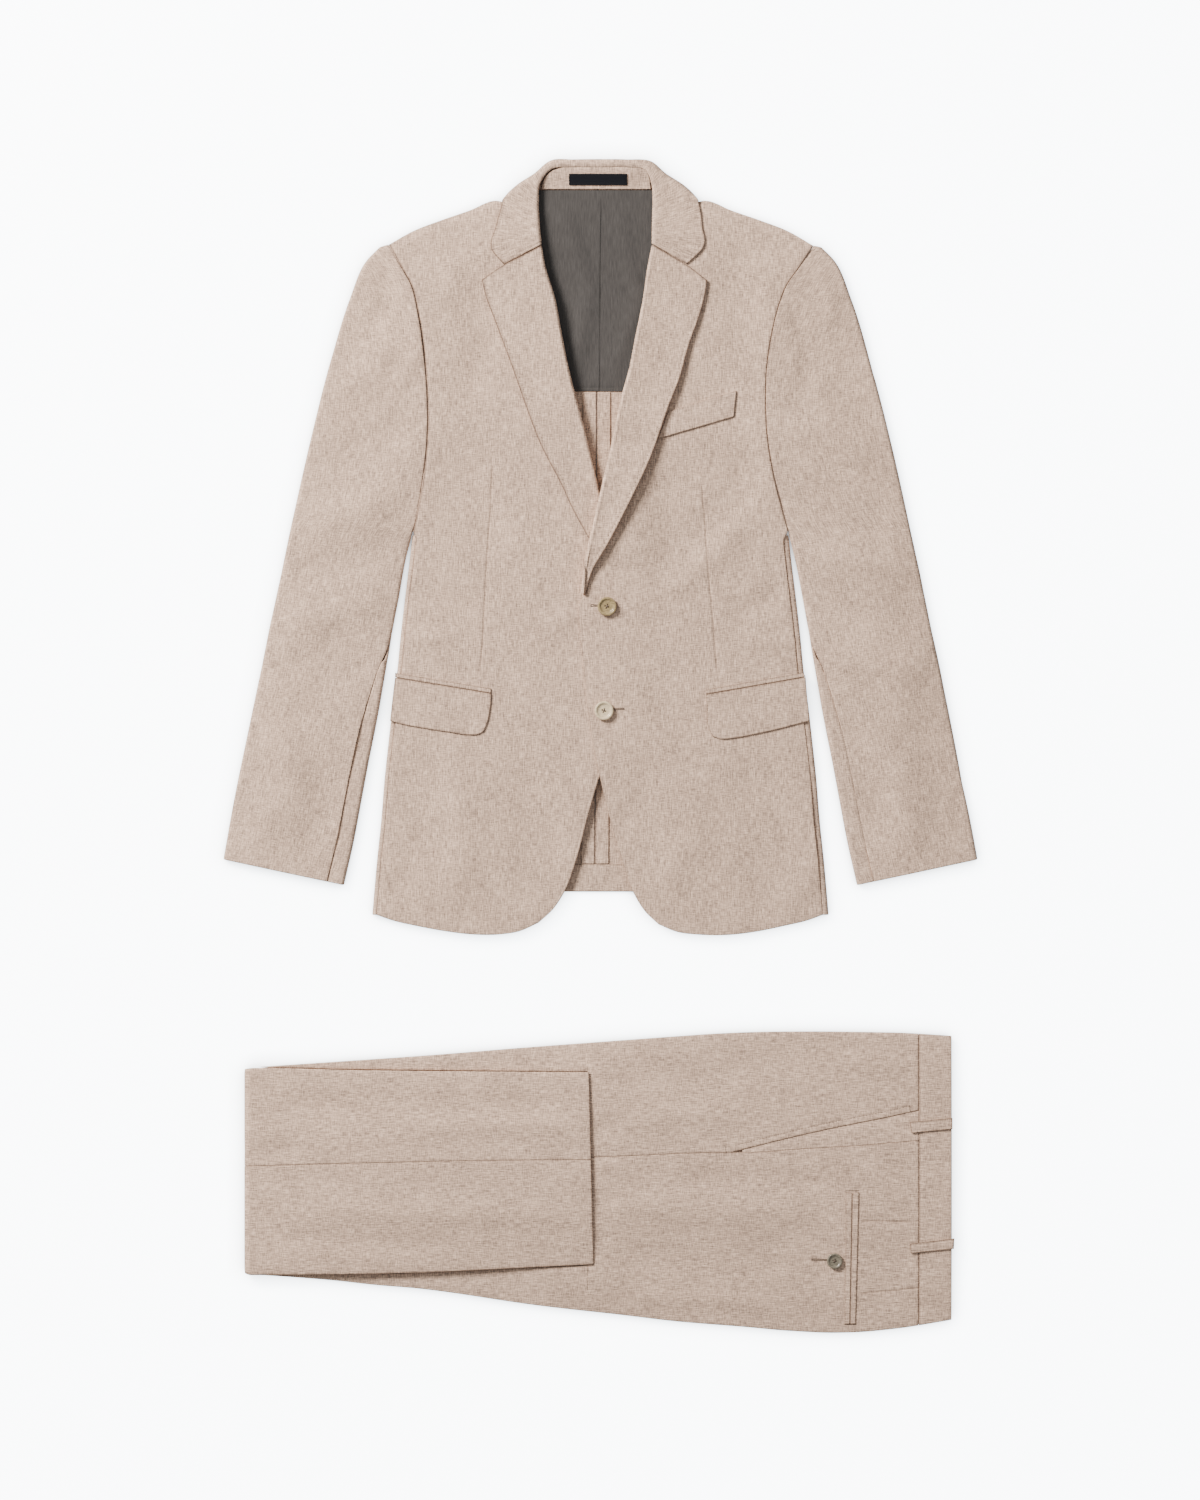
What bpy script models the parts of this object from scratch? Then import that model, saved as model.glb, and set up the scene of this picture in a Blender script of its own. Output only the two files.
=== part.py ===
"""A single-breasted suit laid flat on the floor, face up: the jacket above, the trousers folded once below.

Sizes are in millimetres and become metres where a mesh is made. X runs to the wearer's left, Y up the
picture, Z away from the floor. The jacket's tables give places across the centre line and down from the
collar's top edge. The trousers' tables give places along from the knee fold and down from the front crease.
"""

import bpy
import numpy as np

MM = 0.001

# Where the two garments lie on the floor
JACKET_TOP = 586.4
FOLD_X = -355.5
CREASE_Y = -285.0

# Cloth and the gaps between pieces
CLOTH = 2.0
BACK_CLOTH = 1.8
LINING = 1.0
TRIM = 1.5
GAP = 0.3

# Levels of the jacket's layers above the floor
FRONT_TOP = 7.2
SLEEVE_HEIGHT = 8.4
BODY_BEND = 3.6
SLEEVE_BEND = 4.2
COLLAR_REST = 0.4
NECK_LIFT = 2.4
STAND_HIGH = 8.6
STAND_LOW = 6.6
WELT_REST = 0.9

# How far the cloth swells: over the chest, along the armholes, at the sleeve head and along the sleeve
BODY_SWELL = 2.6
BODY_SWELL_WIDTH = 235.0
ARMHOLE_RISE = 2.4
ARMHOLE_RISE_WIDTH = 26.0
SLEEVE_HEAD_RISE = 3.4
SLEEVE_SWELL = 2.6

# Seams and turnings
SIDE_PANEL_UNDER = 45.0
ROLL_STUB = 4.0
ROLL_BEND_WIDTH = 3.0
HIND_SEAM_TUCK = 18.0
BEND_SEAM_GAP = 2.4
LINING_BOTTOM = 232.0
LINING_TOP = 29.5
HEM_DEPTH = 27.5
HEM_LINE = 732.0
ALLOWANCE = 13.5

# Levels of the trousers' layers above the floor
LEG_CLOTH = 1.5
THIGH_TOP = 7.0
STACK_TOP = 13.8
THIGH_SWELL = 4.0
SHIN_SWELL = 3.0
HEM_ALONG = 344.0
HEM_MIDDLE = 127.0
HEM_SLANT = 0.0245
MARGIN_START = 45.0
KNEE_TURN = 20.0
WAIST_ALONG = 673.4
WAIST_END = 706.0
WAISTBAND_RISE = 0.4

# Buttons
FRONT_BUTTON = 19.0
FRONT_BUTTON_THICK = 4.2
POCKET_BUTTON = 15.6
POCKET_BUTTON_THICK = 3.2

# Outline of each side, the same left and right: across, down
SHOULDER = ((213.0, 84.0), (186.5, 70.5), (159.5, 60.0), (130.5, 50.0), (104.5, 40.5))
SIDE_EDGE = ((188.0, 375.0), (190.5, 400.0), (195.5, 440.0), (200.0, 480.0), (203.0, 511.0),
             (207.5, 545.0), (211.5, 580.0), (215.8, 620.0), (219.0, 660.0), (223.2, 700.0), (228.0, 755.0))
SLEEVE_OUTER = ((220.5, 88.0), (234.0, 102.0), (250.5, 140.0), (269.0, 200.0), (289.5, 280.0),
                (307.5, 360.0), (324.5, 440.0), (349.5, 560.0), (366.0, 640.0), (376.7, 699.7))
SLEEVE_INNER = ((188.0, 376.0), (194.0, 400.0), (201.5, 440.0), (209.0, 480.0), (216.0, 520.0),
                (223.0, 560.0), (231.0, 600.0), (238.5, 640.0), (246.0, 680.0), (256.2, 725.4))

# Armhole of each side, shoulder to underarm: across, down
ARMHOLE_RIGHT = ((211.5, 86.0), (201.0, 105.0), (189.0, 126.5), (182.0, 155.5), (177.0, 189.5),
                 (173.5, 228.5), (172.5, 262.5), (174.5, 296.0), (179.5, 335.0), (188.0, 375.0))
ARMHOLE_LEFT = ((212.5, 87.0), (198.5, 108.5), (186.0, 126.5), (177.5, 148.5), (170.5, 177.5),
                (165.5, 214.0), (165.0, 250.0), (167.0, 282.0), (172.5, 315.0), (188.0, 375.0))

# How far the sleeve's front seam shows inside the inner edge: share of the sleeve's length, width
SLEEVE_SEAM_SHOWS = ((0.0, 0.0), (0.44, 0.0), (0.47, -6.0), (0.60, -6.0), (0.68, 5.0), (0.78, 11.5),
                     (1.0, 13.0))

# Where the fronts' armhole ends at the underarm, and where their side seam starts: across, down
UNDERARM = (187.2, 372.0)
SIDE_SEAM_START = (188.65, 382.0)

# Where the ridge along the armholes runs: down, across
ARMHOLE_RIDGE = ((84.0, 213.0), (126.0, 187.0), (190.0, 173.0), (250.0, 169.0), (296.0, 171.0),
                 (335.0, 177.0), (375.0, 188.0))

# Right front, under at the overlap, from the neck point down: across, down
RIGHT_FRONT_EDGE = ((-79.0, 38.0), (-73.0, 52.0), (-67.0, 72.0), (-61.0, 103.0), (-50.4, 140.7),
                    (-43.4, 177.0), (-36.7, 209.6), (-20.4, 273.0), (-6.7, 331.0), (-2.8, 360.0),
                    (-0.4, 380.0), (5.0, 391.0), (15.0, 415.0), (19.5, 450.0), (19.5, 520.0), (14.0, 580.0),
                    (-1.0, 618.0), (-12.5, 656.5), (-24.0, 700.0), (-36.0, 732.0), (-47.0, 749.0),
                    (-62.0, 763.0))
RIGHT_HEM = ((-81.5, 771.5), (-100.5, 774.5), (-128.6, 774.5), (-154.0, 771.5), (-184.0, 766.0),
             (-208.0, 760.5))

# Left front, on top at the overlap, from the neck point down: across, down
LEFT_FRONT_EDGE = ((79.0, 38.0), (71.0, 52.0), (62.0, 72.0), (53.0, 103.0), (47.4, 140.7),
                   (40.5, 175.0), (33.7, 209.6), (15.7, 285.7), (5.1, 332.0), (-3.8, 371.0),
                   (-13.9, 421.0), (-14.4, 434.0), (-19.4, 440.0), (-20.8, 469.0), (-18.5, 492.0),
                   (-14.0, 538.0), (-8.2, 580.0),
                   (-0.5, 618.0), (10.5, 663.0), (22.0, 701.0), (34.0, 735.0), (44.0, 751.0), (58.0, 764.5))
LEFT_HEM = ((76.5, 772.0), (99.5, 774.8), (128.0, 775.0), (154.0, 772.0), (183.5, 766.0), (208.5, 760.0))

# Right lapel, roll line and leaf edge from the gorge down: across, down
RIGHT_ROLL = ((-58.5, 87.5), (-55.5, 105.0), (-45.0, 140.7), (-38.2, 177.0), (-31.5, 209.6),
              (-15.2, 273.0), (-8.5, 301.0), (-1.5, 331.0), (5.0, 378.0))
RIGHT_LEAF = ((-118.5, 121.5), (-115.0, 136.0), (-104.7, 164.0), (-88.7, 207.0), (-75.0, 246.0),
              (-61.0, 283.0), (-39.0, 326.0), (-26.6, 352.7), (-12.0, 379.0))
RIGHT_LAPEL_TOP = ((-78.0, 97.6), (-97.6, 107.4))

# Left lapel, roll line and leaf edge from the gorge down: across, down
LEFT_ROLL = ((51.2, 86.5), (46.8, 108.6), (42.2, 140.7), (35.3, 175.0), (28.5, 209.6), (21.5, 235.0),
             (10.5, 285.7), (-0.1, 332.0), (-9.0, 371.0), (-14.5, 394.6), (-19.6, 434.0))
LEFT_LEAF = ((106.0, 122.0), (105.0, 131.0), (98.5, 157.0), (88.0, 186.6), (79.0, 219.0), (68.5, 246.0),
             (46.8, 306.0), (30.5, 340.4), (6.0, 387.3), (-9.0, 413.0), (-15.4, 434.5))
LEFT_LAPEL_TOP = ((69.0, 97.0), (87.0, 107.5))

# How far a lapel stands off the front it lies on: down, height
RIGHT_LAPEL_STANDS = ((80.0, 0.4), (200.0, 1.2), (300.0, 0.6), (380.0, 0.4))
LEFT_LAPEL_STANDS = ((80.0, 0.4), (200.0, 1.6), (253.0, 2.6), (340.0, 3.4), (400.0, 2.2), (440.0, 0.6))

# How much higher the roll is than the edge of the leaf: down, height
RIGHT_ROLL_SPRING = ((0.0, 1.0), (90.0, 2.4), (200.0, 3.0), (290.0, 1.2), (325.0, 0.1), (380.0, 0.1))
LEFT_ROLL_SPRING = ((0.0, 1.0), (90.0, 2.4), (200.0, 3.0), (300.0, 2.4), (400.0, 1.2), (440.0, 0.3))

# How far the left front is lifted by what lies under it: down, height
OVERLAP_LIFT = ((285.0, 0.0), (326.0, 5.0), (386.0, 5.0), (412.0, 2.3), (620.0, 2.3), (672.0, 0.0))

# Collar, from the right gorge round the neck to the left gorge. The inner curl, the edge seen from
# above, and the length of cloth that goes on past that edge, round and under: across, down, twice, past
COLLAR = ((-58.3, 86.9, -96.8, 106.0, 0.0), (-58.9, 81.5, -109.0, 90.5, 0.0),
          (-59.8, 74.0, -104.5, 68.0, 0.0), (-60.5, 64.0, -99.8, 50.0, 0.0),
          (-60.8, 58.0, -98.2, 42.0, 0.0), (-61.3, 52.0, -93.5, 35.2, 9.0),
          (-61.3, 42.0, -83.5, 26.0, 28.0), (-60.3, 26.0, -66.6, 14.9, 44.0),
          (-50.0, 12.0, -51.0, 2.2, 60.0), (-26.0, 9.0, -26.0, 0.6, 66.0), (0.0, 9.0, 0.0, 0.3, 66.0),
          (26.0, 9.0, 26.0, 0.6, 66.0), (44.5, 12.0, 50.0, 2.2, 50.0), (51.0, 28.0, 65.8, 14.9, 44.0),
          (51.7, 42.0, 83.0, 26.0, 28.0), (51.6, 52.0, 93.0, 35.2, 9.0), (51.4, 58.0, 97.8, 42.0, 0.0),
          (51.2, 64.0, 99.3, 50.0, 0.0), (51.0, 74.0, 101.5, 68.0, 0.0), (50.9, 81.0, 102.5, 89.5, 0.0),
          (50.6, 85.9, 86.4, 106.0, 0.0))
COLLAR_BEND = 6.0
COLLAR_CURL = 4.0

# Pockets: across, down
RIGHT_JET = ((-205.0, 513.4), (-109.0, 529.2), (-109.0, 533.6), (-205.0, 517.8))
LEFT_JET = ((105.0, 530.2), (202.5, 513.2), (204.6, 517.2), (105.3, 534.6))
RIGHT_FLAP_SIDES = (((-205.0, 518.2), (-206.5, 530.0), (-208.2, 545.0), (-210.0, 561.5)),
                    ((-109.0, 534.1), (-109.8, 546.0), (-112.5, 561.0), (-116.5, 571.5)))
RIGHT_FLAP_EDGE = ((-198.0, 564.6), (-173.5, 569.2), (-149.5, 572.8), (-132.0, 575.2), (-121.0, 574.4))
LEFT_FLAP_SIDES = (((105.4, 535.1), (106.0, 550.0), (107.5, 568.0), (112.0, 577.0)),
                   ((204.7, 517.7), (205.8, 532.0), (207.2, 547.0), (208.5, 561.5)))
LEFT_FLAP_EDGE = ((121.0, 579.6), (132.5, 578.7), (156.5, 574.2), (175.5, 570.0), (195.0, 565.0))
BREAST_WELT = ((67.5, 253.0), (135.5, 232.0), (132.8, 258.0), (57.5, 280.0))
UPPER_BUTTON = (6.5, 447.3)
LOWER_BUTTON = (3.5, 551.2)
NECK_LABEL = (-31.5, 26.5, 15.6, 26.6)

# Trousers outline of the thigh, knee fold to waist: along, down
THIGH_TOP_EDGE = ((6.0, 36.0), (84.5, 30.7), (184.0, 23.8), (283.5, 15.8), (375.0, 9.0), (435.0, 4.6),
                  (478.0, 1.8), (522.0, 0.3), (565.0, 0.0), (608.0, 0.4), (652.0, 1.2), (706.0, 4.4))
THIGH_BOTTOM_EDGE = ((6.0, 242.6), (51.5, 245.7), (90.0, 248.8), (128.0, 253.0), (175.0, 257.0),
                     (295.0, 274.0), (375.0, 283.0), (435.0, 290.0), (500.0, 295.2), (543.0, 299.0),
                     (587.0, 301.0), (608.0, 300.6), (652.0, 296.7), (706.0, 288.0))
THIGH_SEAM = ((6.0, 134.0), (184.0, 129.0), (346.0, 124.8), (381.0, 123.8), (450.0, 121.0), (485.0, 120.6),
              (515.0, 120.0), (555.0, 117.0), (609.0, 114.0), (649.0, 110.6), (673.0, 108.6))
POCKET_MOUTH = ((485.0, 120.6), (524.6, 110.6), (560.7, 102.0), (595.5, 94.5), (635.7, 86.5), (673.0, 78.4))

# Trousers outline of the lower legs folded on top, knee fold to hem: along, down
SHIN_TOP_EDGE = ((0.0, 37.0), (10.0, 36.0), (109.0, 38.0), (234.0, 39.4), (344.0, 40.0))
SHIN_BOTTOM_EDGE = ((0.0, 241.6), (7.0, 242.6), (102.6, 242.0), (175.0, 240.3), (348.7, 232.0))
SHIN_SEAM = ((0.0, 134.0), (109.0, 130.7), (234.0, 128.0), (344.0, 127.0))

# Trousers details, four corners each: along, down
SIDE_LOOP = ((664.0, 90.0), (706.5, 86.0), (706.5, 97.0), (665.5, 101.0))
BACK_LOOP = ((664.2, 211.5), (708.5, 206.0), (708.0, 216.5), (664.9, 221.0))
UPPER_WELT = ((600.2, 160.0), (606.4, 161.0), (604.3, 291.8), (599.3, 291.8))
LOWER_WELT = ((606.9, 161.0), (613.2, 160.0), (610.0, 291.8), (604.8, 291.8))
BACK_BUTTON = (589.0, 228.6)

# Colours and finishes: red, green, blue, roughness
FINISHES = {
    "suiting": (0.58, 0.48, 0.41, 0.85),
    "lining": (0.115, 0.105, 0.098, 0.45),
    "label": (0.008, 0.010, 0.014, 0.7),
    "button_khaki": (0.46, 0.37, 0.22, 0.4),
    "button_pale": (0.64, 0.58, 0.48, 0.4),
    "button_grey": (0.30, 0.26, 0.20, 0.4),
}


def clear_scene():
    """Remove whatever the scene holds."""
    for thing in list(bpy.data.objects):
        bpy.data.objects.remove(thing, do_unlink=True)


def finish(name):
    """The material of that name, made once from its row of the table."""
    made = bpy.data.materials.get(name)
    if made:
        return made
    red, green, blue, rough = FINISHES[name]
    made = bpy.data.materials.new(name)
    made.use_nodes = True
    shader = made.node_tree.nodes["Principled BSDF"]
    shader.inputs["Base Color"].default_value = (red, green, blue, 1.0)
    shader.inputs["Roughness"].default_value = rough
    shader.inputs["Metallic"].default_value = 0.0
    return made


def solid(name, points, faces, material):
    """One named closed body from points in millimetres, its faces turned outwards."""
    mesh = bpy.data.meshes.new(name)
    mesh.from_pydata((points * MM).tolist(), [], faces)
    corners = np.array([[face[0], face[i], face[i + 1]] for face in faces for i in range(1, len(face) - 1)])
    a, b, c = (points[corners[:, i]] for i in range(3))
    if np.einsum("ij,ij->i", a, np.cross(b, c)).sum() < 0:
        mesh.flip_normals()
    mesh.validate()
    mesh.materials.append(finish(material))
    mesh.shade_smooth()
    mesh.set_sharp_from_angle(angle=0.7)
    thing = bpy.data.objects.new(name, mesh)
    bpy.context.scene.collection.objects.link(thing)
    return thing


def smooth(table, count):
    """Points along a smooth curve through a table's rows, evenly spread over the rows."""
    rows = np.array(table, float)
    chord = np.concatenate([[0.0], np.cumsum(np.linalg.norm(np.diff(rows[:, :2], axis=0), axis=1))])
    slope = np.gradient(rows, chord, axis=0)
    place = np.interp(np.linspace(0, len(rows) - 1, count), np.arange(len(rows)), chord)
    k = np.clip(np.searchsorted(chord, place, side="right") - 1, 0, len(rows) - 2)
    span = (chord[k + 1] - chord[k])[:, None]
    f = (place - chord[k])[:, None] / span
    start, end = rows[k], rows[k + 1]
    rise_start, rise_end = slope[k] * span, slope[k + 1] * span
    return ((2 * f**3 - 3 * f**2 + 1) * start + (f**3 - 2 * f**2 + f) * rise_start
            + (3 * f**2 - 2 * f**3) * end + (f**3 - f**2) * rise_end)


def read(table, where):
    """A table's second column, smoothly between its rows, where its first column is as given."""
    rows = np.array(table, float)
    where = np.clip(np.asarray(where, float), rows[0, 0], rows[-1, 0])
    secant = np.diff(rows[:, 1]) / np.diff(rows[:, 0])
    before, after = secant[:-1], secant[1:]
    same_way = before * after > 0
    inner = np.where(same_way, 2 * before * after / np.where(same_way, before + after, 1.0), 0.0)
    slope = np.concatenate([secant[:1], inner, secant[-1:]])
    k = np.clip(np.searchsorted(rows[:, 0], where, side="right") - 1, 0, len(rows) - 2)
    span = rows[k + 1, 0] - rows[k, 0]
    f = (where - rows[k, 0]) / span
    return ((2 * f**3 - 3 * f**2 + 1) * rows[k, 1] + (f**3 - 2 * f**2 + f) * slope[k] * span
            + (3 * f**2 - 2 * f**3) * rows[k + 1, 1] + (f**3 - f**2) * slope[k + 1] * span)


def step(low, high, value):
    """0 below low, 1 above high, and a soft rise between."""
    t = np.clip((value - low) / (high - low), 0.0, 1.0)
    return t * t * (3 - 2 * t)


def shifted(table, across, down=0.0):
    """A table moved across and down."""
    return tuple((row[0] + across, row[1] + down) for row in table)


def patch(start, end, rows, columns, above=(), below=()):
    """Plan points between two curves that run down, with the rows between their ends above and below."""
    left, right = smooth(start, rows), smooth(end, rows)
    top = smooth((left[0],) + tuple(above) + (right[0],), columns)
    bottom = smooth((left[-1],) + tuple(below) + (right[-1],), columns)
    u = np.linspace(0, 1, columns)[None, :, None]
    v = np.linspace(0, 1, rows)[:, None, None]
    corners = ((1 - u) * (1 - v) * left[0] + u * (1 - v) * right[0]
               + (1 - u) * v * left[-1] + u * v * right[-1])
    return ((1 - v) * top[None] + v * bottom[None] + (1 - u) * left[:, None] + u * right[:, None]) - corners


def on_jacket(plan, height):
    """World points, in millimetres, of plan points across and down at the given heights."""
    height = np.broadcast_to(height, plan.shape[:-1])
    return np.stack([plan[..., 0], JACKET_TOP - plan[..., 1], height], axis=-1)


def on_trousers(plan, height):
    """World points, in millimetres, of plan points along and down at the given heights."""
    height = np.broadcast_to(height, plan.shape[:-1])
    return np.stack([FOLD_X + plan[..., 0], CREASE_Y - plan[..., 1], height], axis=-1)


def sheet_body(name, outer, inner, material):
    """A closed wall between two grids of the same size."""
    rows, columns = outer.shape[:2]
    points = np.concatenate([outer.reshape(-1, 3), inner.reshape(-1, 3)])
    index = np.arange(rows * columns).reshape(rows, columns)
    under = index + rows * columns
    faces = []
    for i in range(rows - 1):
        for j in range(columns - 1):
            faces.append((index[i, j], index[i, j + 1], index[i + 1, j + 1], index[i + 1, j]))
            faces.append((under[i, j], under[i + 1, j], under[i + 1, j + 1], under[i, j + 1]))
    rim = ([(0, j) for j in range(columns)] + [(i, columns - 1) for i in range(1, rows)]
           + [(rows - 1, j) for j in range(columns - 2, -1, -1)] + [(i, 0) for i in range(rows - 2, 0, -1)])
    for a, b in zip(rim, rim[1:] + rim[:1]):
        faces.append((index[a], under[a], under[b], index[b]))
    return solid(name, points, faces, material)


def flat_sheet(name, outer, thickness, material="suiting"):
    """A wall whose lower side lies straight below its upper side."""
    return sheet_body(name, outer, outer - np.array([0.0, 0.0, thickness]), material)


def curved_sheet(name, outer, thickness, side, material="suiting"):
    """A wall whose other side lies inwards along the surface's own direction. Side is 1 or -1."""
    down = np.gradient(outer, axis=0)
    across = np.gradient(outer, axis=1)
    normal = np.cross(down, across)
    normal /= np.linalg.norm(normal, axis=-1, keepdims=True)
    return sheet_body(name, outer, outer + side * thickness * normal, material)


def corners_plan(corners, columns):
    """Plan points between four corners, given clockwise from the upper left."""
    return patch((corners[0], corners[3]), (corners[1], corners[2]), 2, columns)


def neck_lift(across, down):
    """How far the layers rise over the part of the collar that is tucked under the back neck."""
    return NECK_LIFT * (1 - step(52, 140, down)) * (1 - step(96, 150, np.abs(across)))


def body_swell(across, down):
    """How far the fronts swell: low towards the sides, with a ridge along the armholes."""
    swell = BODY_SWELL * np.maximum(1 - (np.abs(across) / BODY_SWELL_WIDTH) ** 4, 0.0)
    inside = read(ARMHOLE_RIDGE, down) - np.abs(across)
    ridge = ARMHOLE_RISE * np.exp(-((inside / ARMHOLE_RISE_WIDTH) ** 2)) * (1 - step(320, 400, down))
    return (swell + ridge) * step(38, 90, down)


def right_front_top(across, down):
    """Height of the right front's face."""
    return FRONT_TOP + neck_lift(across, down) + body_swell(across, down)


def left_front_top(across, down):
    """Height of the left front's face, lifted where the right front and its lapel lie under it."""
    over = read(OVERLAP_LIFT, down) * (1 - step(32, 74, across))
    return FRONT_TOP + neck_lift(across, down) + body_swell(across, down) + over


def thigh_top(along, down):
    """Height of the upper thigh's face: highest midway between its two creases."""
    first, last = read(THIGH_TOP_EDGE, along), read(THIGH_BOTTOM_EDGE, along)
    share = np.clip((down - first) / (last - first), 0.0, 1.0)
    return THIGH_TOP + THIGH_SWELL * 4 * share * (1 - share) * step(20, 200, along)


def shin_top(along, down):
    """Height of the folded lower leg's face: highest midway between its two creases."""
    first, last = read(SHIN_TOP_EDGE, along), read(SHIN_BOTTOM_EDGE, along)
    share = np.clip((down - first) / (last - first), 0.0, 1.0)
    return STACK_TOP + (SHIN_SWELL + 1.0) * 4 * share * (1 - share) * step(4, 150, along)


def build_back():
    """Two flat back panels that meet at the centre seam, its open allowances and the turned-up hem."""
    centre = ((-3.0, LINING_TOP), (-3.4, 150.0), (-3.7, 232.0), (-4.4, 420.0), (-5.2, 590.0),
              (-5.7, HEM_LINE))
    for name, armhole, side in (("back_right", ARMHOLE_RIGHT, -1), ("back_left", ARMHOLE_LEFT, 1)):
        turn = ((side * 177.5, 352.0), (side * 168.0, 364.0), (side * 146.0, 371.0), (side * 142.0, 383.0))
        under = tuple((side * (edge[0] - SIDE_PANEL_UNDER - 5 * GAP), edge[1]) for edge in SIDE_EDGE[2:-1])
        outline = (tuple((side * (row[0] - 2.6), row[1] + 2.0) for row in armhole[:-1])
                   + turn + under + ((side * 178.5, HEM_LINE),))
        seam = shifted(centre, side * GAP / 2)
        shoulder = tuple((side * row[0], row[1] + 2.5) for row in SHOULDER[1:-1])
        neck = shoulder + ((side * 97.0, 45.0), (side * 80.0, 37.0), (side * 40.0, LINING_TOP + 0.5))
        plan = patch(outline, seam, 20, 6, above=neck)
        height = BACK_CLOTH + neck_lift(plan[..., 0], plan[..., 1])
        flat_sheet(name, on_jacket(plan, height), BACK_CLOTH)
        inner = ((side * 0.3 - 3.75, LINING_BOTTOM + 0.6), (side * 0.3 - 5.6, HEM_LINE - HEM_DEPTH - 0.4))
        open_edge = shifted(inner, side * ALLOWANCE)
        strip = patch(inner, open_edge, 6, 2)
        flat_sheet(f"seam_allowance_{name[5:]}", on_jacket(strip, BACK_CLOTH + GAP + LINING), LINING)
    hem = patch(((-178.0, HEM_LINE - HEM_DEPTH), (-178.0, HEM_LINE - 0.5)),
                ((178.0, HEM_LINE - HEM_DEPTH), (178.0, HEM_LINE - 0.5)), 3, 13)
    flat_sheet("back_hem", on_jacket(hem, BACK_CLOTH + GAP + LINING), LINING)


def build_lining():
    """The half lining inside the back neck, and the bare label on the collar stand above it."""
    left = ((-74.0, 31.5), (-96.0, 60.0), (-112.0, 110.0), (-116.0, 170.0), (-112.0, LINING_BOTTOM))
    right = ((74.0, 31.5), (96.0, 60.0), (112.0, 110.0), (116.0, 170.0), (112.0, LINING_BOTTOM))
    plan = patch(left, right, 9, 11)
    height = BACK_CLOTH + 2 * GAP + LINING + neck_lift(plan[..., 0], plan[..., 1])
    flat_sheet("back_lining", on_jacket(plan, height), LINING, "lining")


def stand_top(down):
    """Height of the collar stand's face, from the collar's roll down to the back neck seam."""
    return STAND_HIGH + (STAND_LOW - STAND_HIGH) * step(10.0, LINING_TOP, down)


def build_stand():
    """The collar stand inside the back neck and its label."""
    left = ((-46.0, 13.6), (-52.0, 18.0), (-55.5, 23.0), (-57.0, LINING_TOP - GAP))
    right = ((44.5, 13.6), (46.5, 18.0), (47.8, 23.0), (48.6, LINING_TOP - GAP))
    plan = patch(left, right, 4, 9, above=((-36.0, 10.4), (-18.0, 10.0), (18.0, 10.0), (36.0, 10.4)))
    flat_sheet("collar_stand", on_jacket(plan, stand_top(plan[..., 1])), CLOTH)
    low, high, top, bottom = NECK_LABEL
    plan = patch(((low, top), (low, bottom)), ((high, top), (high, bottom)), 3, 5)
    height = stand_top(plan[..., 1]) + GAP + LINING
    flat_sheet("neck_label", on_jacket(plan, height), LINING, "label")


def side_seam(side, inset):
    """The seam between a front and its side panel, as far inside the body's side edge as given."""
    return tuple((side * (row[0] - inset), row[1]) for row in SIDE_EDGE[1:])


def build_fronts():
    """The two fronts, from armhole and side seam to the roll line and the front edge."""
    parts = (("right_front", ARMHOLE_RIGHT, -1, 4.4, RIGHT_FRONT_EDGE, RIGHT_HEM, right_front_top),
             ("left_front", ARMHOLE_LEFT, 1, 6.2, LEFT_FRONT_EDGE, LEFT_HEM, left_front_top))
    for name, armhole, side, inset, edge, hem, top in parts:
        armhole_side = tuple((side * (row[0] - 0.7), row[1]) for row in armhole[:-1] + (UNDERARM,))
        below_arm = ((side * (SIDE_SEAM_START[0] - inset), SIDE_SEAM_START[1]),) + side_seam(side, inset)
        outer = np.concatenate([smooth(armhole_side, 13), smooth(below_arm, 14)])
        shoulder = tuple((side * row[0], row[1] + 1.6) for row in SHOULDER[1:])
        shoulder += ((side * 94.0, 43.6),)
        below = tuple(reversed(hem))
        plan = patch(outer, edge, 27, 10, above=shoulder, below=below)
        height = top(plan[..., 0], plan[..., 1])
        height[0] -= 1.6
        flat_sheet(name, on_jacket(plan, height), CLOTH)


def bent_path(straight, bend_width, bend_height, under):
    """Distance, place inwards and height along a section: over the top, round the edge and back below.

    The place is measured inwards from the section's outer edge.
    """
    turn = np.linspace(0, np.pi, 13)
    inward = np.concatenate([[straight], bend_width * (1 - np.sin(turn)), [under]])
    height = np.concatenate([[2 * bend_height], bend_height * (1 + np.cos(turn)), [0.0]])
    run = np.concatenate([[0.0], np.cumsum(np.hypot(np.diff(inward), np.diff(height)))])
    return run, inward, height


def build_side_panels():
    """Side panels: a strip on top, the bend round the body's side, and a wide leg flat on the floor."""
    for name, side, inset in (("right_side_panel", -1, 4.4), ("left_side_panel", 1, 6.2)):
        rows = smooth(((188.8, 383.0),) + SIDE_EDGE[1:], 14)
        run, inward, height = bent_path(inset - 2 * GAP, BODY_BEND, BODY_BEND, SIDE_PANEL_UNDER)
        places = np.concatenate([run[:1], np.linspace(run[1], run[13], 7), [run[13] + 18.0, run[-1]]])
        inward, height = np.interp(places, run, inward), np.interp(places, run, height)
        plan = np.stack([side * (rows[:, None, 0] - inward[None]),
                         np.repeat(rows[:, None, 1], len(inward), axis=1)], axis=-1)
        curved_sheet(name, on_jacket(plan, height[None]), BACK_CLOTH, -side)


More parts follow.
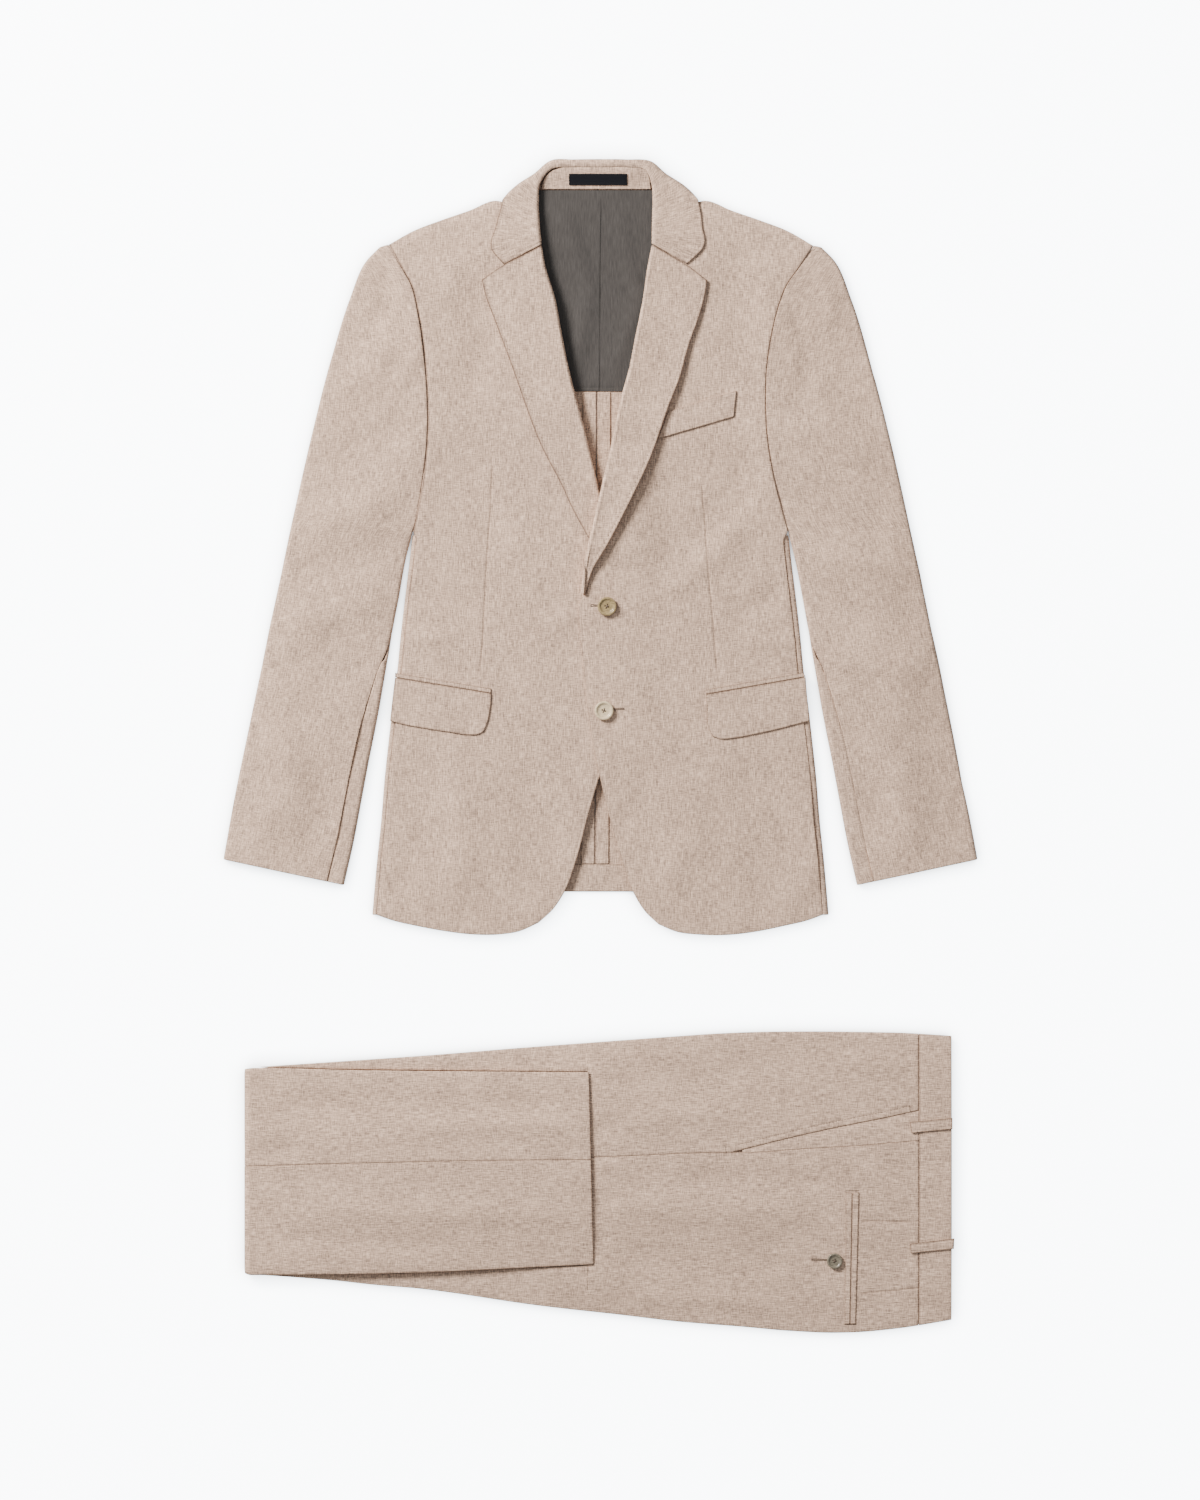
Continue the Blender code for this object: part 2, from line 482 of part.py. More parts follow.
def sleeve_section(width, inner_bend):
    """A sleeve's section as a closed path: distance, place outwards from its inner edge, and height."""
    outer_bend = min(SLEEVE_BEND, 0.55 * width)
    inner_bend = min(inner_bend, 0.4 * width)
    turn = np.linspace(0, np.pi, 13)
    half = SLEEVE_HEIGHT / 2
    outward = np.concatenate([[inner_bend], width - outer_bend * (1 - np.sin(turn)),
                              inner_bend * (1 - np.sin(turn))])
    height = np.concatenate([[2 * half], half * (1 + np.cos(turn)), half * (1 - np.cos(turn))])
    run = np.concatenate([[0.0], np.cumsum(np.hypot(np.diff(outward), np.diff(height)))])
    return run, outward, height


def sleeve_swell(share, place):
    """How far a sleeve's top swells, a share of its length down and a share of its face outwards."""
    low = step(0.28, 0.44, share)
    head = SLEEVE_HEAD_RISE * (1 - place) ** 1.3 * step(0.0, 0.06, share)
    return (1 - low) * head + low * SLEEVE_SWELL * 4 * place * (1 - place)


def build_sleeves():
    """Two-piece sleeves, flattened: the top sleeve wraps the outer edge, the under sleeve the inner edge."""
    outer = smooth(SLEEVE_OUTER, 181)
    for side, armhole, word in ((-1, ARMHOLE_RIGHT, "right"), (1, ARMHOLE_LEFT, "left")):
        inner = np.concatenate([smooth(shifted(armhole[:-1], 0.3), 81), smooth(SLEEVE_INNER, 101)])
        stations = np.concatenate([np.linspace(0, 0.44, 8), [0.47], np.linspace(0.5, 1, 10)])
        outer_points, inner_points = along(outer, stations), along(inner, stations)
        over, under = [], []
        for share, start, end in zip(stations, inner_points, outer_points):
            width = np.linalg.norm(end - start)
            free = step(0.44, 0.47, share)
            run, outward, height = sleeve_section(width, SLEEVE_BEND * free + 0.01)
            seam = read(SLEEVE_SEAM_SHOWS, share)
            tuck = min(HIND_SEAM_TUCK, 0.12 * width)
            seam_under = run[13] + tuck
            floor_end = run[14]
            seam_gap = 2 * GAP if seam > 1.0 else BEND_SEAM_GAP
            under_end = floor_end + (run[-1] + seam - seam_gap - floor_end) * free
            first_bend = min(floor_end - 0.5, under_end - 1.4)
            reach = min(7.0, 0.3 * (run[1] - seam))
            over_places = np.concatenate([seam + reach * np.array([0.0, 0.3, 0.6, 1.0]),
                                          np.linspace(seam + reach, run[1], 4)[1:],
                                          np.linspace(run[1], run[13], 6)[1:], [seam_under]])
            under_places = np.concatenate([np.linspace(seam_under + GAP, first_bend, 4),
                                           np.linspace(first_bend, under_end, 8)[1:]])
            direction = (end - start) / width
            for places, made in ((over_places, over), (under_places, under)):
                x = np.interp(places, run, outward, period=run[-1])
                z = np.interp(places, run, height, period=run[-1])
                if made is over:
                    z += sleeve_swell(share, np.clip(places / run[1], 0.0, 1.0))
                made.append(np.column_stack([start + direction * x[:, None], z]))
        for name, made in ((f"{word}_top_sleeve", over), (f"{word}_under_sleeve", under)):
            made = np.array(made)
            plan = made[..., :2] * np.array([side, 1.0])
            curved_sheet(name, on_jacket(plan, made[..., 2]), CLOTH, -side)


def along(points, shares):
    """Points at the given shares of a line's length."""
    run = np.concatenate([[0.0], np.cumsum(np.linalg.norm(np.diff(points, axis=0), axis=1))])
    return np.column_stack([np.interp(shares * run[-1], run, points[:, i]) for i in range(2)])


def build_lapels():
    """Lapels: a stub level with the front, the bend at the roll line, and the leaf that lies on the front."""
    parts = (("right_lapel", RIGHT_ROLL, RIGHT_LEAF, RIGHT_LAPEL_TOP, RIGHT_LAPEL_STANDS, RIGHT_ROLL_SPRING,
              right_front_top, -1),
             ("left_lapel", LEFT_ROLL, LEFT_LEAF, LEFT_LAPEL_TOP, LEFT_LAPEL_STANDS, LEFT_ROLL_SPRING,
              left_front_top, 1))
    for name, roll, leaf, upper, stands, springs, front, side in parts:
        plan = patch(roll, leaf, 17, 6, above=upper)
        share = np.linspace(0, 1, plan.shape[1])[None]
        ground = front(plan[..., 0], plan[..., 1])
        top = (ground + read(stands, plan[..., 1]) + CLOTH
               + read(springs, plan[..., 1]) * (1 - share) ** 2)
        low = ground[:, 0] - CLOTH
        half = (top[:, 0] - low) / 2
        inward = plan[:, 1] - plan[:, 0]
        inward /= np.linalg.norm(inward, axis=1, keepdims=True)
        turn = np.linspace(0, np.pi, 6)[None, :, None]
        bend = plan[:, :1] + inward[:, None] * ROLL_BEND_WIDTH * (1 - np.sin(turn))
        bend_height = low[:, None] + half[:, None] * (1 - np.cos(turn[..., 0]))
        stub = plan[:, :1] + inward[:, None] * ROLL_STUB
        leaf_plan = plan[:, 1:]
        whole = np.concatenate([stub, bend, leaf_plan], axis=1)
        height = np.concatenate([low[:, None], bend_height, top[:, 1:]], axis=1)
        curved_sheet(name, on_jacket(whole, height), CLOTH, -side)


def build_collar():
    """The collar's fall, swept round the neck: its curl at the roll, its face, and its turn underneath."""
    stations = smooth(COLLAR, 41)
    rows = []
    for inner_x, inner_y, edge_x, edge_y, past in stations:
        inner, edge = np.array([inner_x, inner_y]), np.array([edge_x, edge_y])
        width = np.linalg.norm(edge - inner)
        outward = (edge - inner) / width
        share = step(30.0, 60.0, past)
        front = right_front_top if inner_x < 0 else left_front_top
        ground_in = max(front(inner_x, inner_y), front(edge_x, edge_y) * share)
        ground_out = front(edge_x, edge_y)
        spring = read(LEFT_ROLL_SPRING, inner_y)
        curl = np.linspace(0, np.pi / 2, 4)
        curl_x = COLLAR_CURL * (1 - np.cos(curl))
        high = ground_in + COLLAR_REST + CLOTH + spring * (1 - share)
        curl_z = high - 4.0 * (1 - np.sin(curl))
        bend = min(COLLAR_BEND, max(width - COLLAR_CURL - 0.5, 0.5))
        low = ground_out + COLLAR_REST + CLOTH
        flat_end = width - bend * step(0.0, 14.0, past)
        face = np.linspace(0, 1, 6)[1:]
        face_x = COLLAR_CURL + (flat_end - COLLAR_CURL) * face
        face_z = low + (high - low) * (1 - face) ** 2
        turn = np.linspace(0, np.pi, 9)[1:]
        turn_x = flat_end + (width - flat_end) * np.sin(turn)
        turn_z = low / 2 * (1 + np.cos(turn))
        x = np.concatenate([curl_x, face_x, turn_x, [flat_end - 60.0]])
        z = np.concatenate([curl_z, face_z, turn_z, [0.0]])
        run = np.concatenate([[0.0], np.cumsum(np.hypot(np.diff(x), np.diff(z)))])
        end = run[8] + past
        places = np.concatenate([run[:3], np.linspace(run[3], end, 11)])
        x, z = np.interp(places, run, x), np.interp(places, run, z)
        rows.append(np.column_stack([inner + outward * x[:, None], z]))
    grid = np.array(rows)
    curved_sheet("collar_fall", on_jacket(grid[..., :2], grid[..., 2]), CLOTH, -1)


def build_pockets():
    """Hip flaps with their jets, and the breast welt, each laid on its front."""
    for name, corners in (("right_jet", RIGHT_JET), ("left_jet", LEFT_JET)):
        plan = corners_plan(corners, 8)
        height = FRONT_TOP + body_swell(plan[..., 0], plan[..., 1]) + GAP + LINING
        flat_sheet(name, on_jacket(plan, height), LINING)
    for name, sides, edge in (("right_flap", RIGHT_FLAP_SIDES, RIGHT_FLAP_EDGE),
                              ("left_flap", LEFT_FLAP_SIDES, LEFT_FLAP_EDGE)):
        plan = patch(sides[0], sides[1], 6, 9, below=edge)
        height = FRONT_TOP + body_swell(plan[..., 0], plan[..., 1]) + GAP + TRIM
        flat_sheet(name, on_jacket(plan, height), TRIM)
    plan = corners_plan(BREAST_WELT, 8)
    height = left_front_top(plan[..., 0], plan[..., 1]) + WELT_REST + TRIM
    flat_sheet("breast_welt", on_jacket(plan, height), TRIM)


def button(name, place, centre, diameter, thickness, base, material):
    """A round button with a raised rim round a shallow dish."""
    radius = diameter / 2
    # share of the radius, share of the thickness, from the middle of the back round to the dish
    profile = ((0.55, 0.0), (0.86, 0.12), (1.0, 0.45), (0.97, 0.82), (0.88, 1.0), (0.74, 0.94), (0.62, 0.68),
               (0.30, 0.62))
    turn = np.linspace(0, 2 * np.pi, 25)[:-1]
    middle = place(np.array([centre]), 0.0)[0]
    rings = [middle + np.column_stack([radius * r * np.cos(turn), radius * r * np.sin(turn),
                                       np.full(turn.shape, base + thickness * h)]) for r, h in profile]
    loft(name, np.array(rings), material)


def loft(name, rings, material="suiting"):
    """A closed body through rings of points, capped at both ends."""
    count, size = rings.shape[:2]
    faces = []
    for i in range(count - 1):
        for j in range(size):
            k = (j + 1) % size
            faces.append((i * size + j, i * size + k, (i + 1) * size + k, (i + 1) * size + j))
    faces.append(tuple(range(size - 1, -1, -1)))
    faces.append(tuple((count - 1) * size + j for j in range(size)))
    return solid(name, rings.reshape(-1, 3), faces, material)


def build_buttons():
    """Two front buttons on the left front, and the button of the trousers' back pocket."""
    for name, centre, material in (("front_button_upper", UPPER_BUTTON, "button_khaki"),
                                   ("front_button_lower", LOWER_BUTTON, "button_pale")):
        base = float(left_front_top(*centre)) + GAP
        button(name, on_jacket, centre, FRONT_BUTTON, FRONT_BUTTON_THICK, base, material)
    base = float(thigh_top(*BACK_BUTTON)) + 2 * GAP
    button("pocket_button", on_trousers, BACK_BUTTON, POCKET_BUTTON, POCKET_BUTTON_THICK, base, "button_grey")


def wrapped_leg(name, upper, lower, upper_floor, lower_floor):
    """An outer leg panel from the hem on top, round the knee fold, and along the floor to the waist."""
    bend = STACK_TOP / 2
    top_along = np.linspace(HEM_ALONG + 2.0, bend, 7)[:-1]
    turn = np.linspace(0, np.pi, 7)
    floor_along = np.linspace(bend, WAIST_ALONG - GAP, 10)[1:]
    x = np.concatenate([top_along, bend * (1 - np.sin(turn)), floor_along])
    z = np.concatenate([np.full(6, STACK_TOP), bend * (1 + np.cos(turn)), np.zeros(9)])
    folded = np.arange(len(x)) < 10
    first = np.where(folded, read(upper, x), read(upper_floor, x))
    last = np.where(folded, read(lower, x), read(lower_floor, x))
    share = np.array([0.0, 0.03, 0.25, 0.5, 0.75, 0.97, 1.0])
    down = first[:, None] + (last - first)[:, None] * share[None]
    plan = np.stack([np.repeat(x[:, None], len(share), axis=1), down], axis=-1)
    height = np.repeat(z[:, None], len(share), axis=1)
    height[:6] = shin_top(plan[:6, :, 0], down[:6])
    plan[0, :, 0] += (down[0] - HEM_MIDDLE) * HEM_SLANT
    curved_sheet(name, on_trousers(plan, height), LEG_CLOTH, -1)


def build_legs():
    """Four outer leg panels. The right leg lies below and its lower end is folded over on top."""
    inset = 1.5
    floor_top = tuple((row[0], row[1] + inset) for row in THIGH_TOP_EDGE)
    floor_bottom = tuple((row[0], row[1] - inset) for row in THIGH_BOTTOM_EDGE)
    seam_gap = GAP / 2
    wrapped_leg("right_front_leg", SHIN_TOP_EDGE, shifted(SHIN_SEAM, 0, -seam_gap),
                floor_top, shifted(THIGH_SEAM, 0, -seam_gap))
    wrapped_leg("right_back_leg", shifted(SHIN_SEAM, 0, seam_gap), SHIN_BOTTOM_EDGE,
                shifted(THIGH_SEAM, 0, seam_gap), floor_bottom)
    hem = HEM_ALONG - 1.0
    x = np.concatenate([np.linspace(MARGIN_START, hem, 7), np.linspace(hem + 3.0, WAIST_ALONG - GAP, 12)])
    beyond = x > hem
    seam = read(THIGH_SEAM, x)
    mouth = np.where(x > POCKET_MOUTH[0][0], read(POCKET_MOUTH, x), seam)
    front_end = np.where(beyond, mouth - seam_gap, read(SHIN_TOP_EDGE, x) - GAP)
    back_end = np.where(beyond, seam + seam_gap, read(SHIN_BOTTOM_EDGE, x) + GAP)
    share = np.array([0.0, 0.02, 0.3, 0.65, 1.0])
    for name, first, last in (("left_front_leg", read(THIGH_TOP_EDGE, x), front_end),
                              ("left_back_leg", read(THIGH_BOTTOM_EDGE, x), back_end)):
        down = first[:, None] + (last - first)[:, None] * share[None]
        plan = np.stack([np.repeat(x[:, None], len(share), axis=1), down], axis=-1)
        height = thigh_top(plan[..., 0], down)
        height[:, 0] -= 0.6
        flat_sheet(name, on_trousers(plan, height), LEG_CLOTH)
    bearer = np.linspace(POCKET_MOUTH[0][0] + 12.0, WAIST_ALONG - GAP, 8)
    upper = read(POCKET_MOUTH, bearer) + seam_gap
    lower = read(THIGH_SEAM, bearer) - seam_gap
    plan = np.stack([np.stack([bearer, upper], axis=-1), np.stack([bearer, lower], axis=-1)], axis=1)
    height = thigh_top(plan[..., 0], plan[..., 1]) - 0.3
    flat_sheet("pocket_bearer", on_trousers(plan, height), LEG_CLOTH - 0.3)


def waistband_top(plan):
    """Height of the upper waistband's face."""
    return thigh_top(plan[..., 0], plan[..., 1]) + WAISTBAND_RISE


def build_waistband():
    """The waistband's two halves, one on top and one on the floor."""
    top_edge = ((WAIST_ALONG, float(read(THIGH_TOP_EDGE, WAIST_ALONG))), THIGH_TOP_EDGE[-1])
    bottom_edge = ((WAIST_ALONG, float(read(THIGH_BOTTOM_EDGE, WAIST_ALONG))), THIGH_BOTTOM_EDGE[-1])
    plan = patch(top_edge, bottom_edge, 4, 9)
    flat_sheet("waistband_left", on_trousers(plan, waistband_top(plan)), CLOTH)
    plan = patch(shifted(top_edge, 0, 1.5), shifted(bottom_edge, 0, -1.5), 4, 9)
    flat_sheet("waistband_right", on_trousers(plan, LEG_CLOTH), LEG_CLOTH)


def build_folded_layers():
    """The hidden inner legs and hidden turns of the fold, one solid with a rounded edge for each layer.

    Below the upper thigh's cloth it reaches out to the thigh's outline, and above that to the lower leg's.
    """
    # share of the height, inset from the edge, for the thigh's two layers and for the lower leg's two
    edge = np.array(((0.0, 2.2), (0.12, 0.3), (0.40, 0.3), (0.50, 1.6), (0.60, 0.3), (0.88, 0.3), (1.0, 2.2)))
    low = LEG_CLOTH + GAP
    # along, inset from the outline, and 1 where the lower leg's layers lie on top, 0.5 at their end
    stations = ((6.5, 3.0, 1.0), (12.0, 1.2, 1.0), (30.0, 0.9, 1.0), (60.0, 0.9, 1.0), (110.0, 0.9, 1.0),
                (160.0, 0.9, 1.0), (215.0, 0.9, 1.0), (270.0, 0.9, 1.0), (HEM_ALONG - 3.0, 0.9, 1.0),
                (HEM_ALONG - 1.8, 0.9, 0.5), (HEM_ALONG - 1.0, 0.9, 0.0), (440.0, 0.9, 0.0),
                (500.0, 0.9, 0.0), (560.0, 0.9, 0.0), (620.0, 0.9, 0.0), (668.0, 0.9, 0.0),
                (WAIST_END - 1.0, 1.6, 0.0))
    inner_share = np.array([0.2, 0.5, 0.8])
    rings = []
    for place, inset, stacked in stations:
        thigh = read(THIGH_TOP_EDGE, place), read(THIGH_BOTTOM_EDGE, place)
        shin = thigh
        if stacked:
            shin = max(read(SHIN_TOP_EDGE, place), thigh[0]), min(read(SHIN_BOTTOM_EDGE, place), thigh[1])
        down = shin[0] + (shin[1] - shin[0]) * inner_share
        under_thigh, under_shin = LEG_CLOTH + 4 * GAP, LEG_CLOTH + 2 * GAP
        roof = thigh_top(place, down) - under_thigh
        if stacked == 1:
            roof = shin_top(place, down) - under_shin
        base = low
        if place < KNEE_TURN:
            base = low + (3 * KNEE_TURN - 3 * place) / 16
            roof = np.minimum(roof, KNEE_TURN / 2 - 2.4 if place < KNEE_TURN / 2 else KNEE_TURN / 2 + 1.6)
        sides = []
        for k, sign in ((0, 1), (1, -1)):
            ledge = float(thigh_top(place, thigh[k])) - under_thigh
            edge_roof = ledge + 0.4
            if stacked == 1:
                edge_roof = min(float(shin_top(place, shin[k])) - under_shin, roof.max())
            if place < KNEE_TURN:
                ledge = base + 0.45 * (edge_roof - base)
            back = sign * (inset + edge[:, 1])
            lower = np.column_stack([thigh[k] + back, base + (ledge - base) * edge[:, 0]])
            upper = np.column_stack([shin[k] + back, ledge + (edge_roof - ledge) * edge[:, 0]])
            sides.append(np.concatenate([lower, upper]))
        ring = np.concatenate([sides[0], np.column_stack([down, roof]), sides[1][::-1]])
        rings.append(np.column_stack([np.full(len(ring), place), ring]))
    rings = np.array(rings)
    loft("folded_layers", on_trousers(rings[..., :2], rings[..., 2]))


def build_trouser_details():
    """Belt loops over the waistband, and the two welts of the back pocket."""
    for name, corners in (("belt_loop_side", SIDE_LOOP), ("belt_loop_back", BACK_LOOP)):
        plan = corners_plan(corners, 6)
        flat_sheet(name, on_trousers(plan, waistband_top(plan) + GAP + TRIM), TRIM)
    for name, corners in (("pocket_welt_upper", UPPER_WELT), ("pocket_welt_lower", LOWER_WELT)):
        plan = patch((corners[0], corners[3]), (corners[1], corners[2]), 9, 2)
        height = thigh_top(plan[..., 0], plan[..., 1]) + GAP + LINING
        flat_sheet(name, on_trousers(plan, height), LINING)


def main():
    """Build the suit, piece by piece."""
    clear_scene()
    build_back()
    build_lining()
    build_stand()
    build_fronts()
    build_side_panels()
    build_sleeves()
    build_lapels()
    build_collar()
    build_pockets()
    build_legs()
    build_folded_layers()
    build_waistband()
    build_trouser_details()
    build_buttons()


main()
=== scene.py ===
"""A single-breasted suit laid flat and face up: the jacket above, the trousers folded once below.

Sizes are in millimetres and become metres where a mesh is made. X runs to the wearer's left, Y up the
picture, Z away from the floor. The jacket's tables give places across the centre line and down from the
collar's top edge. The trousers' tables give places along from the knee fold and down from the front crease.
"""

import logging
from abc import ABC, abstractmethod
from collections.abc import Callable
from dataclasses import dataclass, field
from enum import Enum

import bpy
import numpy as np
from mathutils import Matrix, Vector


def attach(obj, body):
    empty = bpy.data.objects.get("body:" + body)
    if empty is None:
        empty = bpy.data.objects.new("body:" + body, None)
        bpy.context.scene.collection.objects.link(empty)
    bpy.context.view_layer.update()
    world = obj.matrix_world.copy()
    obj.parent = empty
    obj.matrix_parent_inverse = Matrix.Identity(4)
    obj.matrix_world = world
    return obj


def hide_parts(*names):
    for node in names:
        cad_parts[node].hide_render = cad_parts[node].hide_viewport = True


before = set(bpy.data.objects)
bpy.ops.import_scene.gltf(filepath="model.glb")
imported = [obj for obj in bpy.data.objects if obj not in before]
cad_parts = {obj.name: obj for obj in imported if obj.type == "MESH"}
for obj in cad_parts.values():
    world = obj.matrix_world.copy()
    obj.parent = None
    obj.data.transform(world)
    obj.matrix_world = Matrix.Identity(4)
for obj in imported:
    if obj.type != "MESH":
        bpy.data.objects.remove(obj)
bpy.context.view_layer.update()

log = logging.getLogger("suit")

# Rows are a table, a Level gives heights over a plan, and a Body is points and their face corners
Array = np.ndarray
Rows = tuple[tuple[float, ...], ...]
Level = Callable[[np.ndarray], np.ndarray]
Pair = tuple[float, float]
Colour = tuple[float, float, float]
Body = tuple[np.ndarray, np.ndarray]

MM = 0.001

# Air between two layers, air in a sewn seam, and the height up to which cloth counts as lying on the floor
GAP = 0.3
SEWN = 0.07
ON_FLOOR = 0.01

# Thickness of the fronts, sleeves and collar, of the back, of flaps and loops, of thin strips, and of the legs
CLOTH = 2.0
BACK_CLOTH = 1.8
TRIM = 1.5
THIN = 1.0
LEG_CLOTH = 1.5

# Soft folds: their depth as a multiple of the tables' heights, how far each bows, and how it fades at its ends
FOLD_DEPTH = 4.8
FOLD_BOW = 0.16
FOLD_FADE = 0.85

# Shade painted along a sewn line, standing for the shadow in its crevice: how dark for each millimetre of its depth,
# and how wide; and the darkest that any painted shade on the cloth gets
SEWN_SHADE = 0.75
SEWN_SHADE_WIDTH = 0.8
DARKEST_PAINTED_SHADE = 0.8

# How far the weave of each new piece is moved on, in millimetres, so that no two look cut from one place
GRAIN_SHIFT = (173.0, 311.0)

# An edge between faces is sharp from this angle on, in radians
SHARP_ANGLE = 1.05

# Places beside an edge, a seam or a dart where the grid is closer, in millimetres from it
NEAR_EDGE = (0.0, 0.25, 0.6, 1.1, 1.8, 2.6, 3.3, 4.0, 5.0, 7.0)
NEAR_LINE = (0.0, 0.4, 0.9, 1.6, 3.0)


class Ground(Enum):
    """Where a garment's own sizes start on the floor."""

    JACKET = (0.0, 586.4)
    TROUSERS = (-355.5, -285.0)

    def world(self, plan: Array, height: Array | float) -> Array:
        """World points, in millimetres, of plan points at the given heights."""
        level = np.broadcast_to(height, plan.shape[:-1])
        return np.stack([self.value[0] + plan[..., 0], self.value[1] - plan[..., 1], level], axis=-1)


class Hand(Enum):
    """The wearer's side that a piece belongs to, by its direction across the body."""

    RIGHT = -1
    LEFT = 1

    @property
    def word(self) -> str:
        """The side's name, as the pieces have it."""
        return self.name.lower()


# Outline of each side, the same left and right: across, down
SHOULDER = ((213, 84), (186.5, 70.5), (159.5, 60), (130.5, 50), (104.5, 40.5))
SIDE_EDGE = ((188, 375), (190.5, 400), (195.5, 440), (200, 480), (203, 511),
             (207.5, 545), (211.5, 580), (215.8, 620), (219, 660), (223.2, 700), (228, 755))
SLEEVE_OUTER = ((220.5, 88), (234, 102), (250.5, 140), (269, 200), (289.5, 280),
                (307.5, 360), (324.5, 440), (349.5, 560), (366, 640), (376.7, 699.7))
SLEEVE_INNER = ((188, 376), (194, 400), (201.5, 440), (209, 480), (216, 520),
                (223, 560), (231, 600), (238.5, 640), (246, 680), (256.2, 725.4))

# Armhole of each side, shoulder to underarm: across, down
ARMHOLE_RIGHT = ((211.5, 86), (201, 105), (189, 126.5), (182, 155.5), (177, 189.5),
                 (173.5, 228.5), (172.5, 262.5), (174.5, 296), (179.5, 335), (188, 375))
ARMHOLE_LEFT = ((212.5, 87), (198.5, 108.5), (186, 126.5), (177.5, 148.5), (170.5, 177.5),
                (165.5, 214), (165, 250), (167, 282), (172.5, 315), (188, 375))

ARMHOLES = {Hand.RIGHT: ARMHOLE_RIGHT, Hand.LEFT: ARMHOLE_LEFT}

# How far inside the body's side edge each front ends and its side panel starts
SIDE_SEAM_INSET = {Hand.RIGHT: 4.4, Hand.LEFT: 6.2}

# How far the sleeve's front seam shows inside the inner edge: share of the sleeve's length, width
SLEEVE_SEAM_SHOWS = ((0, 0), (0.44, 0), (0.47, -6), (0.60, -6), (0.68, 5), (0.78, 11.5), (1, 13))

# Where the fronts' armhole ends at the underarm, and where their side seam starts: across, down
UNDERARM = (187.2, 372)
SIDE_SEAM_START = (188.65, 382)

# Right front, under at the overlap, from the neck point down: across, down
RIGHT_FRONT_EDGE = ((-79, 38), (-73, 52), (-67, 72), (-61, 103), (-50.4, 140.7),
                    (-43.4, 177), (-36.7, 209.6), (-20.4, 273), (-6.7, 331), (-2.8, 360),
                    (-0.4, 380), (5, 391), (15, 415), (19.5, 450), (19.5, 520), (14, 580),
                    (-1, 618), (-12.5, 656.5), (-24, 700), (-36, 732), (-47, 749), (-62, 763))
RIGHT_HEM = ((-81.5, 771.5), (-100.5, 774.5), (-128.6, 774.5), (-154, 771.5), (-184, 766), (-208, 760.5))

# Left front, on top at the overlap, from the neck point down: across, down
LEFT_FRONT_EDGE = ((79, 38), (71, 52), (62, 72), (53, 103), (47.4, 140.7),
                   (40.5, 175), (33.7, 209.6), (15.7, 285.7), (5.1, 332), (-3.8, 371),
                   (-13.9, 421), (-14.4, 434), (-19.4, 440), (-20.8, 469), (-18.5, 492),
                   (-14, 538), (-8.2, 580),
                   (-0.5, 618), (10.5, 663), (22, 701), (34, 735), (44, 751), (58, 764.5))
LEFT_HEM = ((76.5, 772), (99.5, 774.8), (128, 775), (154, 772), (183.5, 766), (208.5, 760))

# Right lapel, roll line and leaf edge from the gorge down: across, down
RIGHT_ROLL = ((-58.5, 87.5), (-55.5, 105), (-45, 140.7), (-38.2, 177), (-31.5, 209.6), (-15.2, 273),
              (-8.5, 301), (-1.5, 331), (5, 378))
RIGHT_LEAF = ((-118.5, 121.5), (-115, 136), (-104.7, 164), (-88.7, 207), (-75, 246), (-61, 283),
              (-39, 326), (-26.6, 352.7), (-12, 379))
RIGHT_LAPEL_TOP = ((-78, 97.6), (-97.6, 107.4))

# Left lapel, roll line and leaf edge from the gorge down: across, down
LEFT_ROLL = ((51.2, 86.5), (46.8, 108.6), (42.2, 140.7), (35.3, 175), (28.5, 209.6), (21.5, 235),
             (10.5, 285.7), (-0.1, 332), (-9, 371), (-14.5, 394.6), (-19.6, 434))
LEFT_LEAF = ((106, 122), (105, 131), (98.5, 157), (88, 186.6), (79, 219), (68.5, 246),
             (46.8, 306), (30.5, 340.4), (6, 387.3), (-9, 413), (-15.4, 434.5))
LEFT_LAPEL_TOP = ((69, 97), (87, 107.5))

# How far a lapel stands off the front it lies on: down, height
RIGHT_LAPEL_STANDS = ((80, 0.4), (200, 1.2), (300, 0.6), (380, 0.4))
LEFT_LAPEL_STANDS = ((80, 0.4), (200, 1.6), (253, 2.6), (340, 3.4), (400, 2.2), (440, 0.6))

# How much further the free edge of a lapel lifts: down, height
RIGHT_EDGE_LIFT = ((80, 0), (150, 0.9), (300, 0.9), (380, 0))
LEFT_EDGE_LIFT = ((80, 0.3), (140, 1.2), (253, 2.4), (340, 3), (400, 2), (440, 0))

# How much higher the roll is than the edge of the leaf: down, height
RIGHT_ROLL_SPRING = ((0, 1), (90, 2.4), (200, 3), (290, 1.2), (325, 0.1), (380, 0.1))
LEFT_ROLL_SPRING = ((0, 1), (90, 2.4), (200, 3), (300, 2.4), (400, 1.2), (440, 0.3))

# How far the left front is lifted by what lies under it: down, height
OVERLAP_LIFT = ((285, 0), (326, 5), (386, 5), (412, 2.3), (620, 2.3), (672, 0))

